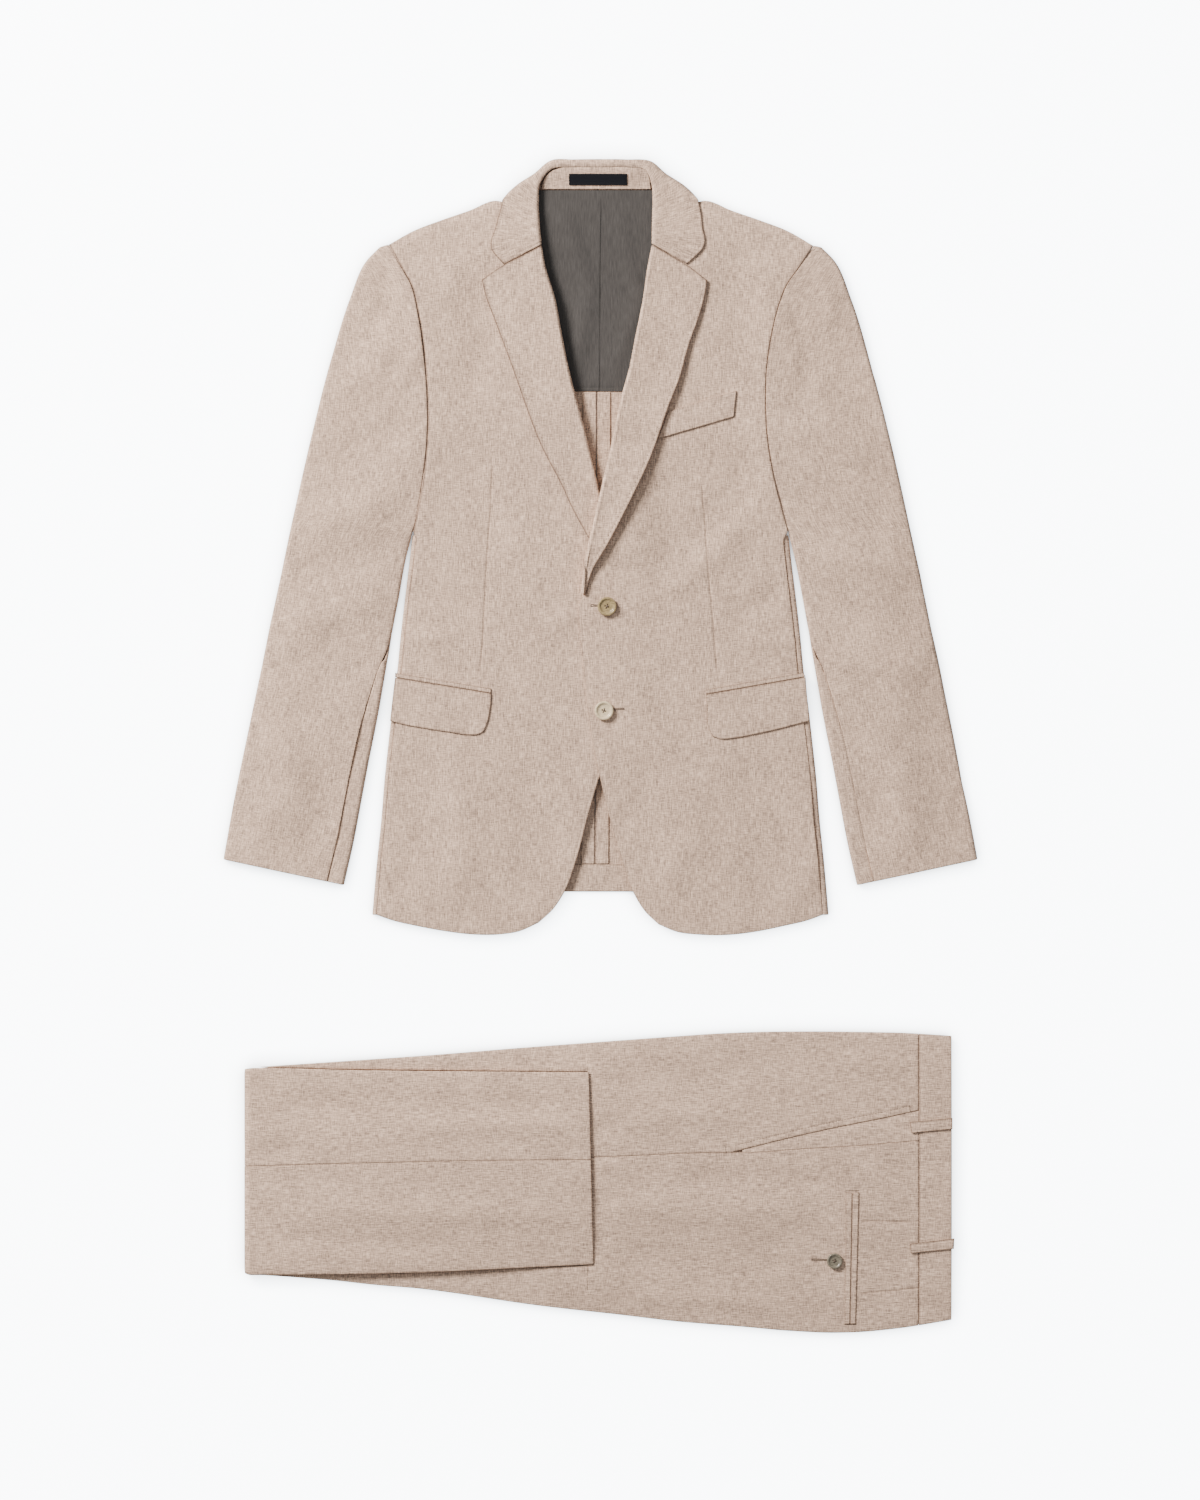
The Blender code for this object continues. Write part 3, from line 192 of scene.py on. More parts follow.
# Collar, from the right gorge round the neck to the left gorge. The inner curl, the edge seen from
# above, and the length of cloth that goes on past that edge, round and under: across, down, across, down, past
COLLAR = ((-58.3, 86.9, -96.8, 106, 0), (-58.9, 81.5, -109, 90.5, 0), (-59.8, 74, -104.5, 68, 0),
          (-60.5, 64, -99.8, 50, 0), (-60.8, 58, -98.2, 42, 0), (-61.3, 52, -93.5, 35.2, 9),
          (-61.3, 42, -83.5, 26, 28), (-60.3, 26, -66.6, 14.9, 44), (-50, 12, -51, 2.2, 60),
          (-26, 9, -26, 0.6, 66), (0, 9, 0, 0.3, 66), (26, 9, 26, 0.6, 66),
          (44.5, 12, 50, 2.2, 50), (51, 28, 65.8, 14.9, 44), (51.7, 42, 83, 26, 28),
          (51.6, 52, 93, 35.2, 9), (51.4, 58, 97.8, 42, 0), (51.2, 64, 99.3, 50, 0),
          (51, 74, 101.5, 68, 0), (50.9, 81, 102.5, 89.5, 0), (50.6, 85.9, 86.4, 106, 0))

# Pockets and front buttons: across, down. The label: left, right, top, bottom
RIGHT_JET = ((-205, 513.4), (-109, 529.2), (-109, 533.6), (-205, 517.8))
LEFT_JET = ((105, 530.2), (202.5, 513.2), (204.6, 517.2), (105.3, 534.6))
RIGHT_FLAP_SIDES = (((-205, 518.2), (-206.5, 530), (-208.2, 545), (-210, 561.5)),
                    ((-109, 534.1), (-109.8, 546), (-112.5, 561), (-116.5, 571.5)))
RIGHT_FLAP_EDGE = ((-198, 564.6), (-173.5, 569.2), (-149.5, 572.8), (-132, 575.2), (-121, 574.4))
LEFT_FLAP_SIDES = (((105.4, 535.1), (106, 550), (107.5, 568), (112, 577)),
                   ((204.7, 517.7), (205.8, 532), (207.2, 547), (208.5, 561.5)))
LEFT_FLAP_EDGE = ((121, 579.6), (132.5, 578.7), (156.5, 574.2), (175.5, 570), (195, 565))
BREAST_WELT = ((67.5, 253), (135.5, 232), (132.8, 258), (57.5, 280))
UPPER_BUTTON = (6.5, 447.3)
LOWER_BUTTON = (3.5, 551.2)
NECK_LABEL = (-31.5, 26.5, 15.6, 26.6)

# Ridge that the armhole's padding makes in each front: down, across
ARMHOLE_RIDGE = ((84, 213), (126, 187), (190, 173), (250, 169), (296, 171), (335, 177),
                 (375, 188))

# Trousers outline of the thigh, knee fold to waist: along, down
THIGH_TOP_EDGE = ((6, 36), (84.5, 30.7), (184, 23.8), (283.5, 15.8), (375, 9), (435, 4.6),
                  (478, 1.8), (522, 0.3), (565, 0), (608, 0.4), (652, 1.2), (706, 4.4))
THIGH_BOTTOM_EDGE = ((6, 242.6), (51.5, 245.7), (90, 248.8), (128, 253), (175, 257), (295, 274),
                     (375, 283), (435, 290), (500, 295.2), (543, 299), (587, 301),
                     (608, 300.6), (652, 296.7), (706, 288))
THIGH_SEAM = ((6, 134), (184, 129), (346, 124.8), (381, 123.8), (450, 121), (485, 120.6),
              (515, 120), (555, 117), (609, 114), (649, 110.6), (673, 108.6))
POCKET_MOUTH = ((485, 120.6), (524.6, 110.6), (560.7, 102), (595.5, 94.5), (635.7, 86.5), (673, 78.4))

# Trousers outline of the lower legs folded on top, knee fold to hem: along, down
SHIN_TOP_EDGE = ((0, 37), (10, 36), (109, 38), (234, 39.4), (344, 40))
SHIN_BOTTOM_EDGE = ((0, 241.6), (7, 242.6), (102.6, 242), (175, 240.3), (348.7, 232))
SHIN_SEAM = ((0, 134), (109, 130.7), (234, 128), (344, 127))

# Trousers details, four corners each, and the pocket button's middle: along, down
SIDE_LOOP = ((664, 90), (706.5, 86), (706.5, 97), (665.5, 101))
BACK_LOOP = ((664.2, 211.5), (708.5, 206), (708, 216.5), (664.9, 221))
UPPER_WELT = ((600.2, 160), (606.4, 161), (604.3, 291.8), (599.3, 291.8))
LOWER_WELT = ((606.9, 161), (613.2, 160), (610, 291.8), (604.8, 291.8))
BACK_BUTTON = (589, 228.6)

# Seams and darts sewn into a panel: across, down or along, down
RIGHT_DART: Rows = ((-108, 300), (-108.5, 318), (-114.5, 420), (-118.1, 488), (-120.5, 514))
LEFT_DART: Rows = ((100.9, 322), (106, 393.5), (112.2, 461), (116.5, 516))
UPPER_BACK_DART: Rows = ((614, 188.7), (640, 189), (674, 189.4))
LOWER_BACK_DART: Rows = ((614, 261.7), (640, 259), (675.6, 255.6))

# Soft folds of each garment: from and to in its plan, half width, height before FOLD_DEPTH multiplies it
JACKET_FOLDS: Rows = (
    (-168, 300, -96, 392, 17, -0.55), (-150, 345, -60, 432, 12, 0.40),
    (-186, 430, -120, 452, 11, -0.35), (-194, 480, -138, 476, 9, 0.30),
    (-60, 470, -22, 454, 10, 0.35), (-84, 600, -74, 740, 19, -0.45),
    (-150, 602, -158, 752, 22, 0.50), (-196, 610, -204, 742, 12, -0.35),
    (-124, 120, -138, 236, 20, -0.40), (-150, 96, -166, 150, 12, 0.35),
    (156, 292, 92, 380, 16, -0.55), (146, 352, 60, 440, 13, 0.42),
    (182, 428, 132, 458, 10, -0.36), (192, 486, 146, 480, 8, 0.28),
    (70, 470, 26, 452, 11, -0.35), (78, 604, 66, 736, 18, 0.45),
    (146, 606, 152, 756, 20, -0.48), (194, 612, 204, 744, 13, 0.36),
    (120, 112, 136, 210, 18, -0.42), (152, 98, 164, 146, 11, 0.34),
    (40, 600, 20, 668, 12, -0.30), (-30, 590, -12, 640, 10, 0.28),
)
SLEEVE_FOLDS: Rows = (
    (205, 180, 262, 232, 17, -0.60), (188, 262, 270, 306, 15, 0.50),
    (196, 330, 290, 372, 17, -0.55), (206, 392, 308, 416, 14, 0.55),
    (214, 436, 318, 470, 16, -0.60), (222, 500, 330, 512, 13, 0.45),
    (262, 430, 300, 570, 20, 0.50), (240, 560, 262, 690, 16, -0.45),
    (316, 560, 342, 690, 18, -0.50), (286, 600, 300, 702, 15, 0.40),
    (214, 110, 228, 170, 9, 0.45), (188, 150, 204, 236, 9, -0.40),
)
TROUSER_FOLDS: Rows = (
    (20, 70, 318, 74, 11, -0.35), (40, 176, 340, 186, 13, 0.40),
    (30, 206, 210, 214, 8, -0.35), (150, 96, 338, 92, 10, 0.32),
    (360, 46, 560, 36, 14, -0.40), (372, 92, 500, 78, 11, 0.38),
    (356, 170, 560, 182, 16, 0.50), (366, 222, 540, 236, 13, -0.48),
    (380, 262, 560, 276, 9, 0.34), (430, 146, 590, 150, 9, -0.36),
    (600, 28, 660, 34, 10, 0.34), (618, 220, 668, 228, 9, -0.34),
    (520, 206, 580, 250, 14, -0.30), (0, 120, 60, 118, 9, -0.30),
    (350, 97, 376, 95, 8, -0.45), (350, 166, 372, 170, 7, -0.50),
    (350, 206, 366, 207, 6, -0.40), (352, 132, 384, 136, 7, 0.30),
)
LINING_FOLDS: Rows = (
    (-44, 40, -30, 214, 9, 0.45), (-22, 60, -16, 226, 7, -0.40),
    (16, 48, 10, 226, 8, 0.40), (30, 70, 22, 220, 7, -0.35),
    (-8, 96, -6, 190, 5, 0.25), (-56, 96, -40, 226, 8, -0.35),
)

# How far the collar's curl drops inside the neck: down, height
ROLL_DROP = ((0, 1.4), (26, 1.8), (40, 4))


def soft_step(low: float, high: float, value: Array | float) -> Array:
    """0 below low, 1 above high, and a soft rise between."""
    t = np.clip((np.asarray(value, float) - low) / (high - low), 0.0, 1.0)
    return t * t * (3 - 2 * t)


def cubic(f: Array, start: Array, end: Array, rise_start: Array, rise_end: Array) -> Array:
    """Values a share f of the way from start to end, leaving and arriving with the given rises."""
    return ((2 * f**3 - 3 * f**2 + 1) * start + (f**3 - 2 * f**2 + f) * rise_start
            + (3 * f**2 - 2 * f**3) * end + (f**3 - f**2) * rise_end)


def unit(vectors: Array) -> Array:
    """Vectors brought to length 1."""
    return vectors / np.maximum(np.linalg.norm(vectors, axis=-1, keepdims=True), 1e-9)


def square_to(way: Array) -> Array:
    """Directions in a plan, each a quarter turn from the given one."""
    return np.stack([-way[..., 1], way[..., 0]], axis=-1)


def through(table: Rows | Array, count: int) -> Array:
    """Points along a smooth curve through a table's rows, evenly spread over the rows.

    Between two rows the curve is the cubic that has, at both, the slope of the rows on either side.

    Args:
        table: the rows; the first two columns are a place.
        count: how many points.

    Returns:
        The points, with as many columns as the table.
    """
    rows = np.array(table, float)
    chord = np.concatenate([[0.0], np.cumsum(np.linalg.norm(np.diff(rows[:, :2], axis=0), axis=1))])
    slope = np.gradient(rows, chord, axis=0)
    place = np.interp(np.linspace(0, len(rows) - 1, count), np.arange(len(rows)), chord)
    k = np.clip(np.searchsorted(chord, place, side="right") - 1, 0, len(rows) - 2)
    span = (chord[k + 1] - chord[k])[:, None]
    f = (place - chord[k])[:, None] / span
    return cubic(f, rows[k], rows[k + 1], slope[k] * span, slope[k + 1] * span)


def read(table: Rows, where: Array | float) -> Array:
    """A table's second column where its first is as given, smoothly between rows and never past them."""
    rows = np.array(table, float)
    where = np.clip(np.asarray(where, float), rows[0, 0], rows[-1, 0])
    secant = np.diff(rows[:, 1]) / np.diff(rows[:, 0])
    before, after = secant[:-1], secant[1:]
    same_way = before * after > 0
    inner = np.where(same_way, 2 * before * after / np.where(same_way, before + after, 1.0), 0.0)
    slope = np.concatenate([secant[:1], inner, secant[-1:]])
    k = np.clip(np.searchsorted(rows[:, 0], where, side="right") - 1, 0, len(rows) - 2)
    span = rows[k + 1, 0] - rows[k, 0]
    f = (where - rows[k, 0]) / span
    return cubic(f, rows[k, 1], rows[k + 1, 1], slope[k] * span, slope[k + 1] * span)


def shifted(table: Rows, across: float, down: float = 0.0) -> Rows:
    """A table moved across and down."""
    return tuple((row[0] + across, row[1] + down) for row in table)


def length_along(points: Array) -> Array:
    """Running length of a line of points, from 0."""
    return np.concatenate([[0.0], np.cumsum(np.linalg.norm(np.diff(points, axis=0), axis=1))])


class Curve:
    """A smooth line through a table's rows, read by share of its length."""

    def __init__(self, table: Rows | Array) -> None:
        """Lay the line through the rows."""
        rows = np.array(table, float)
        self.points = through(rows, 60 * len(rows)) if len(rows) > 2 else rows
        self.run = length_along(self.points)
        self.length = float(self.run[-1])

    def at(self, share: Array) -> Array:
        """Points at the given shares, of any shape, of the line's length."""
        place = np.asarray(share, float) * self.length
        return np.stack([np.interp(place, self.run, self.points[:, i]) for i in range(2)], axis=-1)


class Coons:
    """A plan between two lines that run down, with rows given between their upper and lower ends."""

    def __init__(self, left: Rows, right: Rows, above: Rows = (), below: Rows = ()) -> None:
        """Join the four sides."""
        self.left, self.right = Curve(left), Curve(right)
        self.top = Curve((tuple(left[0]),) + tuple(above) + (tuple(right[0]),))
        self.bottom = Curve((tuple(left[-1]),) + tuple(below) + (tuple(right[-1]),))

    def at(self, across: Array, down: Array) -> Array:
        """Plan points: the blend of the two side lines plus that of the two end lines, less the corners' blend."""
        u, v = np.broadcast_arrays(np.asarray(across, float), np.asarray(down, float))
        left, right, top, bottom = self.left.at(v), self.right.at(v), self.top.at(u), self.bottom.at(u)
        u, v = u[..., None], v[..., None]
        corners = ((1 - v) * ((1 - u) * self.left.at(0.0) + u * self.right.at(0.0))
                   + v * ((1 - u) * self.left.at(1.0) + u * self.right.at(1.0)))
        return (1 - u) * left + u * right + (1 - v) * top + v * bottom - corners

    def grid(self, pitch: float, lines: tuple[Rows, ...] = ()) -> Array:
        """Plan points on a grid that is closer at the sides and along lines sewn into the panel.

        Args:
            pitch: the grid's usual distance.
            lines: courses that run down the panel; a column of the grid follows each.

        Returns:
            Rows by columns by 2 plan points.
        """
        tall = (self.left.length + self.right.length) / 2
        down = (spaced(tall, pitch) / tall)[:, None]
        shares = np.linspace(0, 1, 241)[None]
        dense = self.at(shares, down)
        width = np.linalg.norm(np.diff(dense, axis=1), axis=2).sum(axis=1, keepdims=True)
        marks = [np.zeros_like(width)]
        for line in lines:
            course = np.array(line)
            off = dense[..., 0] - np.interp(dense[..., 1], course[:, 1], course[:, 0])
            crossing = np.abs(off).argmin(axis=1)
            marks.append(shares[0, crossing][:, None] * width)
        across = spread(np.concatenate(marks + [width], axis=1), pitch, NEAR_EDGE, NEAR_LINE) / width
        return self.at(across, down)


def spread(marks: Array, pitch: float, edge: tuple[float, ...], line: tuple[float, ...] = NEAR_LINE) -> Array:
    """Places along every row, close together beside each mark and evenly apart between.

    Args:
        marks: rows by marks, rising along each row; the first and last are the row's ends.
        pitch: the usual distance between places.
        edge: distances of the close places from the row's ends.
        line: distances of the close places from the marks between.

    Returns:
        Rows by places.
    """
    last = marks.shape[1] - 2
    parts = [marks[:, :1]]
    for k in range(last + 1):
        start, end = marks[:, k:k + 1], marks[:, k + 1:k + 2]
        near, far = np.array(edge if k == 0 else line), np.array(edge if k == last else line)
        gap = end - start
        shrink = np.minimum(1.0, gap / (1.25 * (near[-1] + far[-1])))
        count = max(int(round(float(gap.mean() - near[-1] - far[-1]) / pitch)), 1)
        first, final = start + near[-1] * shrink, end - far[-1] * shrink
        parts += [start + near[None, 1:-1] * shrink, first + (final - first) * np.linspace(0, 1, count + 1)[None],
                  end - far[None, -2:0:-1] * shrink, end]
    return np.concatenate(parts, axis=1)


def spaced(length: float, pitch: float, marks: tuple[float, ...] = (), line: tuple[float, ...] = NEAR_LINE) -> Array:
    """Places along one length, close together at its ends and marks and evenly apart between."""
    return spread(np.array([[0.0, *marks, length]]), pitch, NEAR_EDGE, line)[0]


def banded(along: Array, marks: tuple[Array, ...], pitch: float) -> Array:
    """Plan points of a trouser panel: a row at each place along, across it from its first mark to its last."""
    down = spread(np.column_stack(marks), pitch, NEAR_EDGE)
    return np.stack([np.repeat(along[:, None], down.shape[1], axis=1), down], axis=-1)


def four_sided(corners: Rows, pitch: float) -> Array:
    """Plan points between four corners, which are given clockwise from the upper left."""
    return Coons((corners[0], corners[3]), (corners[1], corners[2])).grid(pitch)


def off_course(points: Array, course: Rows | Array) -> tuple[Array, Array]:
    """How far points lie from a course, and the share of its length where each is nearest.

    Args:
        points: plan points, of any shape by 2.
        course: the corners of the course.

    Returns:
        Distance and share, each of the points' shape.
    """
    line = np.array(course, float)[:, :2]
    start, way = line[:-1], np.diff(line, axis=0)
    size = np.linalg.norm(way, axis=1)
    flat = points.reshape(-1, 1, 2)
    t = np.clip(((flat - start) * way).sum(-1) / size**2, 0.0, 1.0)
    distance = np.linalg.norm(flat - start - t[..., None] * way, axis=-1)
    nearest = distance.argmin(axis=1)
    row = np.arange(len(flat))
    share = (np.concatenate([[0.0], np.cumsum(size)])[nearest] + t[row, nearest] * size[nearest]) / size.sum()
    return distance[row, nearest].reshape(points.shape[:-1]), share.reshape(points.shape[:-1])


def soft_folds(points: Array, folds: Rows) -> Array:
    """Height of a garment's soft folds at plan points: a bell across each fold, dying away at its ends."""
    height = np.zeros(points.shape[:-1])
    for x0, y0, x1, y1, reach, high in folds:
        middle = ((x0 + x1) / 2 + FOLD_BOW * (y1 - y0), (y0 + y1) / 2)
        distance, share = off_course(points, ((x0, y0), middle, (x1, y1)))
        height += FOLD_DEPTH * high * np.exp(-(distance / reach) ** 2) * (1 - FOLD_FADE * (2 * share - 1) ** 4)
    return height


@dataclass(frozen=True)
class Lip:
    """How one side of a cloth piece ends.

    round is the radius of its lip, fall how far the cloth sinks over fall_width towards it, stitch how far
    inside it a line of stitches pulls the cloth in, by stitch_depth, and pucker how much a seam ruffles it.
    line is how dark a shade painted along the side is, over line_width: it stands for the shadow in the crevice at the
    edge.
    """

    round: float = 0.8
    fall: float = 0.0
    fall_width: float = 5.0
    stitch: float = 0.0
    stitch_depth: float = 0.28
    pucker: float = 0.0
    line: float = 0.0
    line_width: float = 0.9

    def tone(self, inside: Array) -> Array:
        """How dark the shade painted along the side is, at a distance inside it."""
        return self.line * np.exp(-(inside / self.line_width) ** 2)

    def shape(self, inside: Array, along: Array) -> Array:
        """Height change at a distance inside the side, and at a place along it."""
        into = np.clip(self.round - inside, 0.0, self.round)
        height = np.sqrt(np.maximum(self.round**2 - into**2, 0.0)) - self.round
        height = height - self.fall * (1 - soft_step(0.0, self.fall_width, inside))
        if self.stitch:
            height = height - self.stitch_depth * np.exp(-((inside - self.stitch) / 0.8) ** 2)
        if self.pucker:
            # Waves of unlike lengths, so that the ruffles of a seam don't repeat
            ripple = np.sin(along / 1.9 + 1.7 * np.sin(along / 13.0)) * np.sin(along / 4.7 + 0.6)
            height = height + self.pucker * ripple * np.exp(-((inside - 3.0) / 4.0) ** 2)
        return height


# Ways a side can end. A lip's line paints shade along the edge for the shadow in its crevice; the darkest is on edges
# that face the light, against the light on their rounding.
SEAM = Lip(round=0.45, fall=0.2, fall_width=2.5, pucker=0.06, line=0.32)
FOLDED = Lip(round=1.0, fall=0.35, fall_width=5.0)
STITCHED = Lip(round=0.8, fall=0.30, fall_width=3.0, stitch=3.4, pucker=0.05, line=0.5)
LIT_EDGE_PAINTED_SHADE = Lip(round=0.4, fall=0.10, fall_width=3.0, stitch=3.4, pucker=0.05, line=0.9, line_width=1.3)
ARMHOLE = Lip(round=0.45, fall=0.5, fall_width=4.0, pucker=0.06, line=0.75, line_width=1.2)
UNDER_EDGE = Lip(round=1.0, fall=0.35, fall_width=5.0, line=0.7, line_width=1.3)
HIDDEN = Lip(round=0.5)


@dataclass(frozen=True)
class Cut:
    """How a sheet was cut and how it lies: width and length in metres, how it is held and what it lies on."""

    width: float
    length: float
    on: tuple[str, ...] = ("floor",)
    held: str = "laid"


@dataclass
class Wall:
    """A wall of cloth: the grid of its outer face, which way is out, and the changes of its height.

    plan is where each point lies in its garment's plan, for folds and sewn lines. grain is where each point
    lies on the cloth, in millimetres, with the warp along the second number.
    """

    name: str
    nodes: tuple[str, ...]
    base: Array
    out: Array
    thickness: float
    plan: Array
    grain: Array
    relief: Array = field(init=False)
    # How dark the shade painted on each point is, for the shadow at edges and sewn lines
    tone: Array = field(init=False)

    def __post_init__(self) -> None:
        """Start with a plain face."""
        self.relief = np.zeros(self.base.shape[:2])
        self.tone = np.zeros(self.base.shape[:2])

    @classmethod
    def flat(cls, name: str, ground: Ground, plan: Array, height: Array | float, thickness: float,
             nodes: tuple[str, ...] | None = None) -> "Wall":
        """A wall whose inner face lies straight below its outer face."""
        base = ground.world(plan, height)
        warp = plan if ground is Ground.JACKET else plan[..., ::-1]
        out = np.broadcast_to([0.0, 0.0, 1.0], base.shape)
        return cls(name, (name,) if nodes is None else nodes, base, out, thickness, plan, warp.copy())

    @classmethod
    def curved(cls, name: str, ground: Ground, plan: Array, height: Array | float, thickness: float, side: int,
               grain: Array) -> "Wall":
        """A wall whose inner face lies inwards along the surface's own direction, to the given side."""
        base = ground.world(plan, height)
        out = -side * unit(np.cross(np.gradient(base, axis=0), np.gradient(base, axis=1)))
        out[base[..., 2] < ON_FLOOR] = (0.0, 0.0, -1.0)
        return cls(name, (name,), base, out, thickness, plan, grain)

    def lips(self, left: Lip = HIDDEN, right: Lip = HIDDEN, top: Lip = HIDDEN, bottom: Lip = HIDDEN) -> "Wall":
        """Shape the four sides of the grid, first and last column, first and last row, and paint shade along them."""
        across = np.linalg.norm(np.diff(self.base, axis=1), axis=2)
        down = np.linalg.norm(np.diff(self.base, axis=0), axis=2)
        from_left = np.pad(np.cumsum(across, axis=1), ((0, 0), (1, 0)))
        from_top = np.pad(np.cumsum(down, axis=0), ((1, 0), (0, 0)))
        self.relief += left.shape(from_left, from_top) + right.shape(from_left[:, -1:] - from_left, from_top)
        self.relief += top.shape(from_top, from_left) + bottom.shape(from_top[-1:] - from_top, from_left)
        self.tone += left.tone(from_left) + right.tone(from_left[:, -1:] - from_left)
        self.tone += top.tone(from_top) + bottom.tone(from_top[-1:] - from_top)
        return self

    def sew(self, course: Rows, depth: float = 0.5, reach: float = 0.9, pucker: float = 0.05) -> "Wall":
        """Press a sewn line into the face, with the small ruffles beside it and shade painted along it, dying away at
        its ends.
        """
        distance, share = off_course(self.plan, course)
        fade = soft_step(0.0, 0.06, share) * soft_step(0.0, 0.06, 1 - share)
        along = share * Curve(course).length
        ruffle = pucker * np.sin(along / 2.1 + 1.3 * np.sin(along / 11.0)) * np.exp(-((distance - 3.0) / 3.0) ** 2)
        self.relief += (ruffle - depth * np.exp(-(distance / reach) ** 2)) * fade
        # Shade painted along the sewn line, darker the deeper the line is sewn in
        self.tone += SEWN_SHADE * depth * np.exp(-(distance / SEWN_SHADE_WIDTH) ** 2) * fade
        return self

    def fold(self, folds: Rows, amount: float = 1.0) -> "Wall":
        """Add the garment's soft folds."""
        self.relief += amount * soft_folds(self.plan, folds)
        return self

    def faces_out(self) -> Array:
        """The outer face's points with all changes of height, in millimetres, and none below the floor."""
        points = self.base + self.out * np.maximum(self.relief, 0.25 - self.thickness)[..., None]
        points[..., 2] = np.maximum(points[..., 2], 0.0)
        return points


def shaded(name: str, points: Array, faces: Array, grain: Array, material: bpy.types.Material,
           extra: list[tuple[int, ...]] | None = None, tone: Array | None = None) -> bpy.types.Object:
    """A closed, smoothly shaded body.

    Args:
        name: the object's name.
        points: corners, in millimetres.
        faces: four corner numbers a face.
        grain: where each corner lies on the cloth, in millimetres.
        material: its finish.
        extra: faces with other numbers of corners, such as end caps.
        tone: how dark the shade painted at each corner is, or None for cloth with no painted shade.

    Returns:
        The object, with its faces turned outwards and its grain as a UV map in metres.
    """
    a, b, c, d = (points[faces[:, i]] for i in range(4))
    if np.einsum("ij,ij->", a, np.cross(b, c)) + np.einsum("ij,ij->", a, np.cross(c, d)) < 0:
        faces = faces[:, ::-1]
        extra = [face[::-1] for face in extra or []]
    mesh = bpy.data.meshes.new(name)
    mesh.from_pydata((points * MM).tolist(), [], faces.tolist() + [list(face) for face in extra or []])
    layer = mesh.uv_layers.new(name="grain")
    corner = np.empty(len(mesh.loops), dtype=np.int32)
    mesh.loops.foreach_get("vertex_index", corner)
    layer.data.foreach_set("uv", (grain[corner] * MM).astype(np.float32).ravel())
    # The shade painted on each corner goes to the material as a point attribute
    pressed = mesh.attributes.new("pressed", "FLOAT", "POINT")
    if tone is not None:
        pressed.data.foreach_set("value", np.clip(tone, 0.0, DARKEST_PAINTED_SHADE).astype(np.float32))
    mesh.materials.append(material)
    mesh.shade_smooth()
    mesh.set_sharp_from_angle(angle=SHARP_ANGLE)
    return placed(name, mesh)


def placed(name: str, data: bpy.types.ID) -> bpy.types.Object:
    """A new object in the scene that shows the data."""
    thing = bpy.data.objects.new(name, data)
    bpy.context.scene.collection.objects.link(thing)
    return thing


def grid_faces(rows: int, columns: int) -> Array:
    """Face corners, four a face, of an outer grid, of the inner grid that follows it, and of the rim between."""
    index = np.arange(rows * columns).reshape(rows, columns)
    quads = np.stack([index[:-1, :-1], index[:-1, 1:], index[1:, 1:], index[1:, :-1]], axis=-1).reshape(-1, 4)
    rim = np.concatenate([index[0], index[1:, -1], index[-1, -2::-1], index[-2:0:-1, 0]])
    following = np.roll(rim, -1)
    under = rows * columns
    sides = np.stack([rim, rim + under, following + under, following], axis=-1)
    return np.concatenate([quads, (quads + under)[:, ::-1], sides])


@dataclass
class Workroom:
    finishes: dict[str, bpy.types.Material]
    made: list[bpy.types.Object] = field(default_factory=list)

    def declare(self, thing: bpy.types.Object, nodes: tuple[str, ...]) -> bpy.types.Object:
        """Let an object ride on the suit and stand for its solids."""
        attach(thing, "root")
        if nodes:
            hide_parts(*nodes)
        self.made.append(thing)
        triangles = sum(len(face.vertices) - 2 for face in thing.data.polygons)
        log.info("%s: %d triangles", thing.name, triangles)
        return thing

    def sheet(self, wall: Wall, finish: str = "suiting") -> bpy.types.Object:
        outer = wall.faces_out()
        rows, columns = outer.shape[:2]
        inner = wall.base - wall.out * wall.thickness
        faces = grid_faces(rows, columns)
        points = np.concatenate([outer.reshape(-1, 3), inner.reshape(-1, 3)])
        grain = wall.grain.reshape(-1, 2) + len(self.made) * np.array(GRAIN_SHIFT)
        # The painted shade, the same on both faces
        tone = np.tile(wall.tone.ravel(), 2)
        thing = shaded(f"{wall.name}_cloth", points, faces, np.concatenate([grain, grain]), self.finishes[finish],
                       tone=tone)
        self.declare(thing, wall.nodes)
        return thing

    def body(self, name: str, points: Array, faces: Array, finish: str, nodes: tuple[str, ...] = (),
             slot: str | None = None, extra: list[tuple[int, ...]] | None = None,
             grain: Array | None = None) -> bpy.types.Object:
        cloth = points[:, :2] if grain is None else grain
        thing = shaded(name, points, faces, cloth, self.finishes[finish], extra)
        return self.declare(thing, nodes)

    def threads(self, name: str, bodies: list[Body]) -> None:
        """Make stitches or threads, in the thread finish, into one object."""
        self.body(name, *joined(bodies), "thread", slot="suiting")


class SubAssembly(ABC):
    """A part of the suit that one maker would finish before it is joined to the rest."""

    @abstractmethod
    def build(self, room: Workroom) -> None:
        """Make the pieces in the workroom."""


